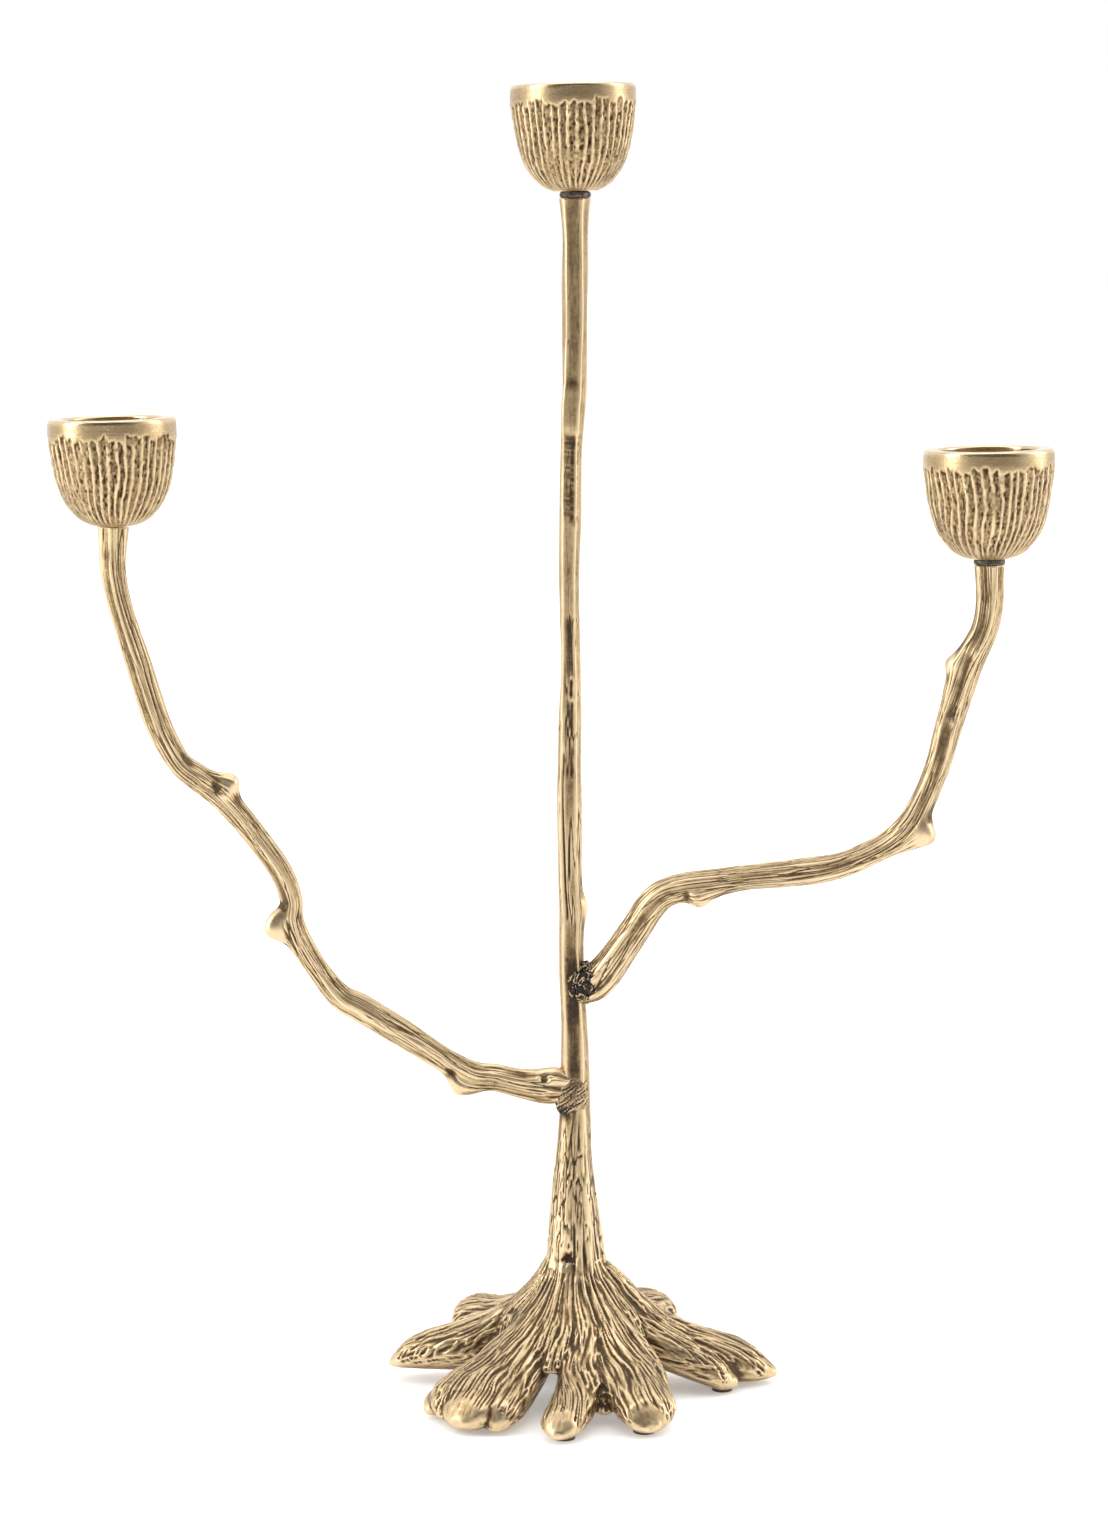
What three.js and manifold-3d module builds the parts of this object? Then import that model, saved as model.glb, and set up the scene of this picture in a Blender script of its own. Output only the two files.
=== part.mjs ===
// A three-light tabletop candelabra cast in brass in the shape of a small bare tree.
// A root foot carries a slender trunk. Two bent branches are brazed to the trunk, and
// the trunk and both branches end in a cup that is held by a screw through its floor.
// Millimetres, +Z up. The trunk stands on x = y = 0 while the pieces are made, and the
// finished group is moved so that the origin is under the middle of the whole object.

import * as THREE from "three";
import { mergeVertices } from "three/addons/utils/BufferGeometryUtils.js";
import Module from "manifold-3d";

const wasm = await Module();
wasm.setup();

// ---- Driving dimensions ----

const GAP = 0.3; // clearance between pieces that touch

// Cups: a tea-light bore in a thick bowl
const CUP_RIM_RADIUS = 25.6;
const CUP_WIDEST_RADIUS = 26;
const CUP_HEIGHT = 43;
const CUP_BORE_RADIUS = 20;
const CUP_BORE_DEPTH = 20;
const CUP_LEDGE_RADIUS = 16; // a tea light stands on the ledge at the foot of the bore
const CUP_RECESS_DEPTH = 26.5;
const CUP_RECESS_RADIUS = 14.6;
const CUP_FLOOR_DEPTH = 31;
const CUP_FLOOR_RADIUS = 11;
const CUP_SEAT_RADIUS = 8.5;
const CUP_TILT = THREE.MathUtils.degToRad(-1.3); // every cup leans a little towards -X

// Solder rings under the centre and right cups
const RING_RADIUS = 6.9;
const RING_HEIGHT = 2.2;

// Cup fasteners: an M5 cheese-head screw on a plain washer
const CUP_SCREW_RADIUS = 2.3;
const CUP_SCREW_HOLE_RADIUS = 2.6;
const CUP_SCREW_REACH = 13; // below the cup's seat
const CUP_SCREW_HEAD_RADIUS = 4.4;
const CUP_SCREW_HEAD_HEIGHT = 2.8;
const SCREW_SLOT_WIDTH = 1.2;
const SCREW_SLOT_DEPTH = 1.3;
const CUP_WASHER_RADIUS = 5.4;
const CUP_WASHER_HEIGHT = 1;

// Foot: a hollow casting with a boss that takes the trunk's spigot
const FOOT_TOP = 57;
const SOLE_HEIGHT = 1.8; // the soles stand on felt pads
const SPIGOT_RADIUS = 7;
const SPIGOT_BOTTOM = 40;
const BOSS_BOTTOM = 30;
const BOSS_RADIUS = 14;

// Foot bolt: M8 hexagon head on a washer, up into the trunk
const BOLT_RADIUS = 3.9;
const BOLT_HOLE_RADIUS = 4.3;
const BOLT_TOP = 61;
const BOLT_HOLE_TOP = 64;
const BOLT_HEAD_RADIUS = 7.4;
const BOLT_HEAD_HEIGHT = 5.3;
const BOLT_WASHER_RADIUS = 8.5;
const BOLT_WASHER_HEIGHT = 1.6;

// Toe ends: the last part of every root closes in to a rounded tip
const TOE_BEND = 0.8;
const TOE_CLOSING = 0.8;

// Felt pads
const PAD_RADIUS = 4.5;
const PAD_HEIGHT = SOLE_HEIGHT - GAP;

// Blocks that square off the branch ends and the foot
const TRIM_WIDTH = 30;
const TRIM_HEIGHT = 12;
const FOOT_SLAB = 300;

// Mesh density
const BRANCH_SIDES = 10;
const STEPS_PER_POINT = 2;
const SECTION_SWELL = 1.03;
const ROOT_SIDES = 12;
const ROOT_STEPS = 12;
const CUP_SIDES = 36;

// ---- Branch centrelines: [x, z, radius], from the trunk out to the cup ----

const TRUNK = [
  [0.3, 57.3, 13.3],
  [0.2, 69, 11.5],
  [0, 79, 10.3],
  [-0.2, 89, 9.1],
  [-0.2, 99, 7.9],
  [0.1, 109, 7.1],
  [0.3, 119, 6.8],
  [0.3, 131, 6.4],
  [0.2, 147, 6],
  [-0.2, 160, 5.6],
  [-0.9, 175, 5.6],
  [-1.4, 190, 5.3],
  [-1.2, 206, 5.6],
  [-1.9, 220, 5.1],
  [-2.2, 254, 5.3],
  [-2.2, 268, 4.9],
  [-2, 290, 4.8],
  [-1.7, 308, 4.3],
  [-2, 325, 4.1],
  [-2.4, 350, 4.3],
  [-2, 372, 4.6],
  [-1.7, 398, 4.5],
  [-1, 417, 5.2],
  [-0.3, 430, 5.2],
  [-0.1, 470, 5.4],
  [0, 487, 5.3],
  [-0.2, 497, 5.8],
  [-0.2, 507, 6.7],
];

// The left branch lies in an upright plane that comes a little forward of -X: [reach, z, radius]
const LEFT_PLANE = THREE.MathUtils.degToRad(9.1);
const LEFT_BRANCH = [
  [2, 130, 7.4],
  [14, 131.6, 7.4],
  [24, 133.3, 6.1],
  [34, 135.9, 5.8],
  [45, 137.8, 6.2],
  [58, 146, 5.3],
  [74, 157, 5.8],
  [91, 168, 5.9],
  [100, 173.6, 5.3],
  [109, 185, 4.6],
  [116, 196.5, 5.6],
  [119.8, 206.5, 5.6],
  [120, 216, 4.6],
  [125, 229, 4.7],
  [139, 248.6, 5],
  [150, 261, 5.8],
  [158, 267.5, 5.6],
  [166, 274.6, 4.9],
  [174, 290.5, 5.3],
  [182, 317, 5.2],
  [188, 337, 4.8],
  [191, 352, 5.1],
  [191.2, 362, 5.6],
  [190.8, 374, 6.5],
];

const RIGHT_PLANE = THREE.MathUtils.degToRad(15);
const RIGHT_BRANCH = [
  [2, 172.5, 7.6],
  [10.5, 177.5, 7.7],
  [17, 185.7, 7.2],
  [27, 201, 6.6],
  [33, 210.2, 6.6],
  [39, 216, 6.2],
  [48, 219.4, 6.3],
  [60, 221.7, 5.8],
  [75, 224.6, 5.3],
  [95, 227.5, 5.8],
  [113, 231.3, 5.5],
  [130, 239.3, 5.2],
  [141, 248, 6],
  [147.8, 260, 5.1],
  [153.9, 276, 5.2],
  [158.2, 293, 5.6],
  [162.2, 306, 6],
  [166.2, 319, 6.2],
  [171.6, 331, 5.5],
  [173.5, 342, 5.7],
  [173.4, 352, 5.8],
  [173.2, 361, 6.4],
];

// Where each cup sits: [reach, z], in the plane of its branch
const CENTRE_SEAT = [0, 507.3];
const LEFT_SEAT = [189.8, 372.3];
const RIGHT_SEAT = [173.2, 360.3];

// Knots on the branches: [reach, z, half length, half width, half height, lean in degrees, side]
// Side shifts the knot across the branch's plane.
const LEFT_KNOTS = [
  [47, 133.5, 7.5, 5, 4.2, 28, 0],
  [124, 207, 5.2, 5.2, 7, 15, 0],
  [149.5, 264.5, 6.5, 5.5, 5, 35, -1],
];
const RIGHT_KNOTS = [
  [55, 219, 9, 5, 4.8, 12, -1],
  [147.5, 251, 7.5, 5, 6, -60, 0],
  [160.5, 316, 4.8, 4.8, 7.5, -14, 0],
];
const TRUNK_KNOTS = [
  [1.6, 208, 4, 4, 6.5, 0, 0],
];

// Beads of filler where the branches are brazed on: half sizes, centre and lean in degrees
const LEFT_BEAD = { size: [7, 9, 9], centre: [-6.5, -1, 130], lean: 0 };
const RIGHT_BEAD = { size: [8, 9.5, 10.5], centre: [6.5, -1.6, 174.5], lean: 35 };

// ---- Foot roots ----
// Each root runs out from the trunk at its own angle (0 is +X, 90 is +Y), bending sideways
// on the way. Stations are [distance, sideways shift, top height, half width]. A root that has
// an underside of its own is level below, and stays clear of the table.

const ROOTS = {
  left_point: {
    angle: 175,
    underside: 5,
    stations: [
      [6, 0, 50, 11], [22, 0, 42, 12], [34, 0, 33, 12.5], [50, 0, 25.5, 12.5],
      [62, 0, 22.5, 11.5], [71, 0, 18, 9], [77, 0, 12.5, 6], [80.5, 0, 8.5, 3],
    ],
  },
  back_left: {
    angle: 126,
    stations: [
      [6, 0, 50, 11], [22, 0, 42, 12], [34, 0, 34, 12], [48, 0, 28, 12],
      [62, 0, 24.5, 12.5], [72, 0, 22.5, 12.5], [79, 0, 19, 11], [84, 0, 12, 7],
    ],
  },
  front_left: {
    angle: 230,
    stations: [
      [6, 0, 50, 11], [22, 0, 42, 13], [34, 0, 33.5, 14], [48, 1, 26.5, 16.5],
      [60, 1, 22.5, 18.5], [69, 0, 19.5, 18.5], [76, -1, 16, 15], [81, -2, 10, 9],
    ],
  },
  front_left_outer_toe: {
    angle: 218,
    stations: [
      [30, 5, 28, 8], [46, 3, 21, 9], [58, 1, 16.5, 9], [68, 0, 13.5, 8], [75, 0, 10.5, 6],
      [79, 0, 7, 3],
    ],
  },
  front_left_big_toe: {
    angle: 234.8,
    stations: [
      [30, -2, 32, 9], [46, -1, 25, 11], [60, 0, 20, 12.5], [71, 0, 17.5, 13], [79, 0, 15, 11.5],
      [84.5, 0, 9.5, 8],
    ],
  },
  front_left_inner_toe: {
    angle: 244,
    stations: [
      [30, -2, 31, 8], [46, -1, 23, 8.5], [58, 0, 18.5, 8.5], [68, 0, 16, 8.5], [75, 0, 14, 7],
      [79.5, 0, 9, 4],
    ],
  },
  front_middle: {
    angle: 265,
    stations: [
      [6, 0, 50, 10], [22, 3, 42, 10], [34, 7, 32, 10.5], [46, 7, 24, 11],
      [58, 4.5, 18.5, 10.5], [69, 2.5, 15.5, 10], [77, 1, 13, 9], [83, 0, 8, 5],
    ],
  },
  front_right: {
    angle: 293,
    stations: [
      [6, 0, 50, 11], [22, 3, 42, 13], [34, 5, 33.5, 15], [46, 5.5, 26, 16],
      [58, 4.2, 21, 14.5], [68, 3.2, 18, 13], [75, 1.8, 15, 11.5], [80.5, 0, 9, 8],
    ],
  },
  right_near_toe: {
    angle: 350,
    stations: [
      [6, 0, 50, 11], [22, 0, 42, 11], [34, 0, 33, 11], [46, 0, 26, 11],
      [56, 0, 20.5, 10.5], [65, 0, 14.5, 9], [71.5, 0, 8.5, 5],
    ],
  },
  right_point: {
    angle: 1,
    stations: [
      [8, 0, 58, 10], [18, 0, 52.5, 10.5], [24, 0, 46, 11.5], [34, 0, 35.5, 13], [48, 0, 27, 14],
      [60, 0, 23, 14], [71, 0, 19.5, 12.5], [80, 0, 14.5, 9.5], [87.5, 0, 8.5, 5],
    ],
  },
  back_right: {
    angle: 59,
    stations: [
      [6, 0, 51, 11], [24, 0, 42, 11.5], [34, 0, 36.5, 11.5], [46, 0, 30.5, 11],
      [58, 0, 27.5, 11.5], [69, 0, 25, 11], [77, 0, 20, 8.5], [83, 0, 11.5, 5],
    ],
  },
  back_middle: {
    angle: 93,
    stations: [
      [6, 0, 50, 11], [22, 0, 42, 11], [34, 0, 33, 10.5], [48, 0, 25.5, 10.5],
      [60, 0, 21, 10.5], [69, 0, 17, 9.5], [77, 0, 10, 6],
    ],
  },
  front_left_web: {
    angle: 255,
    underside: 17,
    stations: [[16, 0, 43, 9], [26, 0, 39, 12], [34, 0, 32.5, 13], [40, 0, 27.5, 12], [45, 0, 22.5, 8]],
  },
  front_web: {
    angle: 283,
    stations: [[20, 0, 42, 8], [32, 0, 32, 10], [44, 0, 23, 9], [53, 0, 17, 7], [58, 0, 13, 5]],
  },
};

// Height of every root's underside: [distance, height], below the soles where it rests
const UNDERSIDE = [[6, 26], [22, 17], [34, 10], [46, 6], [56, 3], [64, 0.6], [90, 0.6]];

// The felt pads: [angle, distance from the trunk]
const PADS = {
  back_left: [126, 72],
  front_left: [232, 72],
  front_middle: [266.5, 72],
  front_right: [294, 70],
  right: [352, 64],
  back_right: [59, 70],
  back_middle: [93, 68],
};

// ---- Materials ----

function metal(colour, roughness) {
  return new THREE.MeshStandardMaterial({ color: colour, roughness, metalness: 1 });
}

const castBrass = () => metal(0xb8975a, 0.42);
const darkBraze = () => metal(0x5a4a32, 0.7);
const solder = () => metal(0x84807a, 0.5);
const screwBrass = () => metal(0xc8a862, 0.3);
const steel = () => metal(0x9a9a98, 0.35);
const felt = () => new THREE.MeshStandardMaterial({ color: 0x4a4038, roughness: 0.95, metalness: 0 });

// ---- Solids ----

function solid(geometry, matrix = new THREE.Matrix4()) {
  const bare = geometry.clone().applyMatrix4(matrix);
  bare.deleteAttribute("normal");
  bare.deleteAttribute("uv");
  const merged = mergeVertices(bare, 1e-4);
  return new wasm.Manifold(new wasm.Mesh({
    numProp: 3,
    vertProperties: merged.attributes.position.array,
    triVerts: new Uint32Array(merged.index.array),
  }));
}

function largestBody(shape) {
  return shape.decompose().reduce((a, b) => (b.volume() > a.volume() ? b : a));
}

function mesh(name, shape, material) {
  const made = shape.getMesh();
  const geometry = new THREE.BufferGeometry();
  geometry.setAttribute("position", new THREE.BufferAttribute(made.vertProperties, 3));
  geometry.setIndex(new THREE.BufferAttribute(made.triVerts, 1));
  geometry.computeVertexNormals();
  const piece = new THREE.Mesh(geometry, material);
  piece.name = name;
  return piece;
}

function moved(x, y, z) {
  return new THREE.Matrix4().makeTranslation(x, y, z);
}

// An upright cylinder that stands between two heights
function column(radius, bottom, top, sides = 32) {
  const geometry = new THREE.CylinderGeometry(radius, radius, top - bottom, sides);
  geometry.rotateX(Math.PI / 2);
  return solid(geometry, moved(0, 0, (bottom + top) / 2));
}

function revolved(outline, sides) {
  const geometry = new THREE.LatheGeometry(outline.map(([r, z]) => new THREE.Vector2(r, z)), sides);
  geometry.rotateX(Math.PI / 2);
  return solid(geometry);
}

// Bends an upright cylinder mesh so that its rings sit where place(t, angle) says
function lofted(sides, steps, place) {
  const geometry = new THREE.CylinderGeometry(1, 1, 1, sides, steps);
  const position = geometry.attributes.position;
  for (let i = 0; i < position.count; i += 1) {
    const t = position.getY(i) + 0.5;
    const across = Math.hypot(position.getX(i), position.getZ(i));
    const angle = Math.atan2(position.getX(i), position.getZ(i));
    const point = place(t, angle, across);
    position.setXYZ(i, point.x, point.y, point.z);
  }
  return geometry;
}

function smooth(values) {
  return new THREE.CatmullRomCurve3(values.map((v) => new THREE.Vector3(...v)), false, "catmullrom", 0.5);
}

// ---- Branches and trunk ----

// The upright plane of a branch: its outward direction and its normal
function plane(side, turn) {
  const outward = new THREE.Vector3(side * Math.cos(turn), -Math.sin(turn), 0);
  const normal = new THREE.Vector3(0, 0, 1).cross(outward).normalize();
  return { outward, normal };
}

const FRONT = { outward: new THREE.Vector3(1, 0, 0), normal: new THREE.Vector3(0, 1, 0) };
const LEFT = plane(-1, LEFT_PLANE);
const RIGHT = plane(1, RIGHT_PLANE);

function inPlane({ outward }, reach, z) {
  return outward.clone().multiplyScalar(reach).setZ(z);
}

// The many-sided section is drawn a little large, so that it keeps the branch's mean width
function branch(points, where, grow = 0) {
  const spine = smooth(points.map(([reach, z]) => inPlane(where, reach, z).toArray()));
  const radii = smooth(points.map(([, , radius]) => [radius * SECTION_SWELL + grow, 0, 0]));
  const steps = (points.length - 1) * STEPS_PER_POINT;
  return solid(lofted(BRANCH_SIDES, steps, (t, angle, across) => {
    const tangent = spine.getTangent(t);
    const binormal = tangent.clone().cross(where.normal).normalize();
    const radius = radii.getPoint(t).x * across;
    return spine.getPoint(t)
      .addScaledVector(where.normal, radius * Math.cos(angle))
      .addScaledVector(binormal, radius * Math.sin(angle));
  }));
}

function knot([reach, z, length, width, height, lean, side], where) {
  const geometry = new THREE.SphereGeometry(1, 10, 7);
  geometry.scale(length, width, height);
  geometry.rotateY(THREE.MathUtils.degToRad(-lean));
  const centre = inPlane(where, reach, z).addScaledVector(where.normal, side);
  const turn = Math.atan2(where.outward.y, where.outward.x);
  return solid(geometry, moved(...centre).multiply(new THREE.Matrix4().makeRotationZ(turn)));
}

function knotted(points, knots, where) {
  return knots.reduce((made, row) => made.add(knot(row, where)), branch(points, where));
}

// The frame that a cup stands in: on the end of a branch, tilted
function cupFrame([reach, z], where) {
  return moved(...inPlane(where, reach, z)).multiply(new THREE.Matrix4().makeRotationY(CUP_TILT));
}

// Squares off a branch end under its cup and drills it for the cup's screw
function preparedEnd(shape, frame, neckTop) {
  const trim = new THREE.BoxGeometry(TRIM_WIDTH, TRIM_WIDTH, TRIM_HEIGHT);
  const hole = new THREE.CylinderGeometry(
    CUP_SCREW_HOLE_RADIUS, CUP_SCREW_HOLE_RADIUS, CUP_SCREW_REACH + 4, 20);
  hole.rotateX(Math.PI / 2);
  const above = frame.clone().multiply(moved(0, 0, neckTop + TRIM_HEIGHT / 2));
  const below = frame.clone().multiply(moved(0, 0, neckTop - (CUP_SCREW_REACH + 4) / 2 + 1));
  return shape.subtract(solid(trim, above)).subtract(solid(hole, below));
}

function trunkShape() {
  const spigot = column(SPIGOT_RADIUS, SPIGOT_BOTTOM, FOOT_TOP + 4);
  const tappedHole = column(BOLT_HOLE_RADIUS, SPIGOT_BOTTOM - 1, BOLT_HOLE_TOP, 20);
  return knotted(TRUNK, TRUNK_KNOTS, FRONT).add(spigot).subtract(tappedHole);
}

// ---- Cups and what holds them ----

// In the cup's own frame the seat is at z = 0 and the rim at z = CUP_HEIGHT.
function cup(scale) {
  const rim = CUP_HEIGHT * scale;
  const outside = [
    [CUP_SEAT_RADIUS, 0], [11.5, 1.2], [14.6, 3], [17.4, 5.8], [20, 9.4], [21.9, 13.4],
    [23.3, 18], [24.3, 23], [25.2, 28.5], [CUP_WIDEST_RADIUS, 35], [CUP_RIM_RADIUS + 0.2, CUP_HEIGHT - 0.8],
    [CUP_RIM_RADIUS - 0.5, CUP_HEIGHT],
  ].map(([r, z]) => [r * scale, z * scale]);
  const inside = [
    [CUP_BORE_RADIUS + 0.4, rim],
    [CUP_BORE_RADIUS, rim - 0.6],
    [CUP_BORE_RADIUS, rim - CUP_BORE_DEPTH],
    [CUP_LEDGE_RADIUS, rim - CUP_BORE_DEPTH],
    [CUP_RECESS_RADIUS, rim - CUP_RECESS_DEPTH],
    [CUP_FLOOR_RADIUS, rim - CUP_FLOOR_DEPTH],
    [CUP_SCREW_HOLE_RADIUS, rim - CUP_FLOOR_DEPTH],
  ];
  const bottom = [[CUP_SCREW_HOLE_RADIUS, 0]];
  return revolved([...outside, ...inside, ...bottom, outside[0]], CUP_SIDES);
}

function screw(floor) {
  const headBottom = floor + CUP_WASHER_HEIGHT + 2 * GAP;
  const headTop = headBottom + CUP_SCREW_HEAD_HEIGHT;
  const slot = new THREE.BoxGeometry(3 * CUP_SCREW_HEAD_RADIUS, SCREW_SLOT_WIDTH, 2 * SCREW_SLOT_DEPTH);
  return column(CUP_SCREW_RADIUS, -CUP_SCREW_REACH, headBottom + 1, 20)
    .add(column(CUP_SCREW_HEAD_RADIUS, headBottom, headTop, 28))
    .subtract(solid(slot, moved(0, 0, headTop)));
}

function washer(radius, hole, bottom, height) {
  return column(radius, bottom, bottom + height, 28)
    .subtract(column(hole, bottom - 1, bottom + height + 1, 20));
}

// A group with the cup, its screw and washer, and a solder ring where there is one
function cupGroup(name, scale, frame, ringed) {
  const group = new THREE.Group();
  const floor = (CUP_HEIGHT * scale) - CUP_FLOOR_DEPTH;
  group.add(mesh(`${name}_cup`, cup(scale), castBrass()));
  group.add(mesh(`${name}_cup_screw`, screw(floor), screwBrass()));
  group.add(mesh(
    `${name}_cup_washer`,
    washer(CUP_WASHER_RADIUS, CUP_SCREW_HOLE_RADIUS, floor + GAP, CUP_WASHER_HEIGHT),
    screwBrass(),
  ));
  if (ringed) {
    const ringBottom = -GAP - RING_HEIGHT;
    group.add(mesh(
      `${name}_solder_ring`,
      washer(RING_RADIUS, CUP_SCREW_HOLE_RADIUS, ringBottom, RING_HEIGHT),
      solder(),
    ));
  }
  group.applyMatrix4(frame);
  return group;
}

// ---- Foot ----

function root({ angle, stations, underside }) {
  const turn = THREE.MathUtils.degToRad(angle);
  const outward = new THREE.Vector3(Math.cos(turn), Math.sin(turn), 0);
  const sideways = new THREE.Vector3(-Math.sin(turn), Math.cos(turn), 0);
  const curve = smooth(stations.map(([distance, shift, top]) => [distance, shift, top]));
  const widths = smooth(stations.map(([, , , half]) => [half, 0, 0]));
  return solid(lofted(ROOT_SIDES, ROOT_STEPS, (t, theta, across) => {
    const station = curve.getPoint(t);
    const pastBend = Math.max(0, (t - TOE_BEND) / (1 - TOE_BEND));
    const rounding = Math.sqrt(1 - TOE_CLOSING * pastBend ** 2) * across;
    const bottom = underside ?? undersideAt(station.x);
    const halfHeight = ((station.z - bottom) / 2) * rounding;
    const halfWidth = widths.getPoint(t).x * rounding;
    return outward.clone().multiplyScalar(station.x)
      .addScaledVector(sideways, station.y + halfWidth * Math.cos(theta))
      .setZ((station.z + bottom) / 2 + halfHeight * Math.sin(theta));
  }));
}

function undersideAt(distance) {
  const next = Math.max(1, UNDERSIDE.findIndex(([d]) => d >= distance));
  const [d0, z0] = UNDERSIDE[next - 1];
  const [d1, z1] = UNDERSIDE[next];
  return THREE.MathUtils.mapLinear(distance, d0, d1, z0, z1);
}

function footShape() {
  const skirt = revolved([
    [0, 14], [31, 14], [34, 19], [34, 26], [31, 33], [27, 37.5], [22, 42.5], [18.5, 46.5],
    [15.8, 50], [13.6, 53.5], [12.8, FOOT_TOP], [0, FOOT_TOP], [0, 14],
  ], 28);
  const hollow = revolved([
    [0, -3], [42, -3], [41, 4], [36, 10], [30, 19], [24, 28], [18, 36], [BOSS_RADIUS, 36],
    [BOSS_RADIUS, BOSS_BOTTOM], [0, BOSS_BOTTOM], [0, -3],
  ], 28);
  const socket = column(SPIGOT_RADIUS + GAP, SPIGOT_BOTTOM - GAP, FOOT_TOP + 1);
  const boltHole = column(BOLT_HOLE_RADIUS, BOSS_BOTTOM - 1, SPIGOT_BOTTOM + 1, 20);
  const slab = new THREE.BoxGeometry(FOOT_SLAB, FOOT_SLAB, FOOT_SLAB);
  const ground = solid(slab, moved(0, 0, SOLE_HEIGHT - FOOT_SLAB / 2));
  const above = solid(slab, moved(0, 0, FOOT_TOP + FOOT_SLAB / 2));
  const roots = Object.values(ROOTS).map(root);
  const cast = roots.reduce((made, one) => made.add(one), skirt);
  const cuts = [above, hollow, socket, boltHole, ground];
  return largestBody(cuts.reduce((made, one) => made.subtract(one), cast));
}

function footBolt() {
  const headTop = BOSS_BOTTOM - BOLT_WASHER_HEIGHT - 2 * GAP;
  const head = column(BOLT_HEAD_RADIUS, headTop - BOLT_HEAD_HEIGHT, headTop, 6);
  return head.add(column(BOLT_RADIUS, headTop - 1, BOLT_TOP, 20));
}

function pad([angle, distance]) {
  const turn = THREE.MathUtils.degToRad(angle);
  const geometry = new THREE.CylinderGeometry(PAD_RADIUS, PAD_RADIUS, PAD_HEIGHT, 20);
  geometry.rotateX(Math.PI / 2);
  return solid(geometry, moved(distance * Math.cos(turn), distance * Math.sin(turn), PAD_HEIGHT / 2));
}

// ---- Brazed joints ----

// A bead of filler round the foot of a branch, hollowed by the branch and the trunk
function brazeBead({ size, centre, lean }, branchShape, trunkShapeGrown) {
  const geometry = new THREE.SphereGeometry(1, 14, 9);
  geometry.scale(...size);
  geometry.rotateY(THREE.MathUtils.degToRad(lean));
  return largestBody(solid(geometry, moved(...centre)).subtract(trunkShapeGrown).subtract(branchShape));
}

// ---- Assembly ----

function candelabra() {
  const centreSeat = cupFrame(CENTRE_SEAT, FRONT);
  const leftSeat = cupFrame(LEFT_SEAT, LEFT);
  const rightSeat = cupFrame(RIGHT_SEAT, RIGHT);
  const ringedNeck = -RING_HEIGHT - 2 * GAP;
  const washerBottom = BOSS_BOTTOM - GAP - BOLT_WASHER_HEIGHT;

  const trunk = preparedEnd(trunkShape(), centreSeat, ringedNeck);
  const trunkRoom = knotted(TRUNK, TRUNK_KNOTS, FRONT).add(branch(TRUNK, FRONT, GAP));
  const leftArm = largestBody(
    preparedEnd(knotted(LEFT_BRANCH, LEFT_KNOTS, LEFT), leftSeat, -GAP).subtract(trunkRoom));
  const rightArm = largestBody(
    preparedEnd(knotted(RIGHT_BRANCH, RIGHT_KNOTS, RIGHT), rightSeat, ringedNeck).subtract(trunkRoom));
  const leftArmRoom = branch(LEFT_BRANCH, LEFT, GAP);
  const rightArmRoom = branch(RIGHT_BRANCH, RIGHT, GAP);

  const group = new THREE.Group();
  group.add(mesh("root_base", footShape(), castBrass()));
  group.add(mesh("trunk", trunk, castBrass()));
  group.add(mesh("left_arm", leftArm, castBrass()));
  group.add(mesh("right_arm", rightArm, castBrass()));
  group.add(mesh(
    "left_arm_braze",
    brazeBead(LEFT_BEAD, leftArmRoom, trunkRoom),
    darkBraze(),
  ));
  group.add(mesh(
    "right_arm_braze",
    brazeBead(RIGHT_BEAD, rightArmRoom, trunkRoom),
    darkBraze(),
  ));
  group.add(mesh("base_bolt", footBolt(), steel()));
  group.add(mesh(
    "base_washer",
    washer(BOLT_WASHER_RADIUS, BOLT_HOLE_RADIUS, washerBottom, BOLT_WASHER_HEIGHT),
    steel(),
  ));
  group.add(cupGroup("centre", 1, centreSeat, true));
  group.add(cupGroup("left", 1.015, leftSeat, false));
  group.add(cupGroup("right", 1.025, rightSeat, true));
  for (const [name, place] of Object.entries(PADS)) {
    group.add(mesh(`${name}_pad`, pad(place), felt()));
  }
  return group;
}

// Puts the origin under the middle of the object, at the height of the pads' soles
function centred(group) {
  const box = new THREE.Box3().setFromObject(group, true);
  const middle = box.getCenter(new THREE.Vector3());
  group.position.set(-middle.x, -middle.y, -box.min.z);
  return group;
}

export default centred(candelabra());
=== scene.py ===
"""The looks of a three-light tabletop candelabra, cast in brass as a small bare tree.

Lengths are millimetres from the trunk's axis until a mesh is made, and metres after that.
Every limb is swept along the line of its CAD solid, with its root inside the trunk and its
thickness trimmed a few tenths in places. Bark, facets and knots are real relief. The dark
patina follows the hollows of that relief, with stains added where the real one has them.
"""

import math

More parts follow.
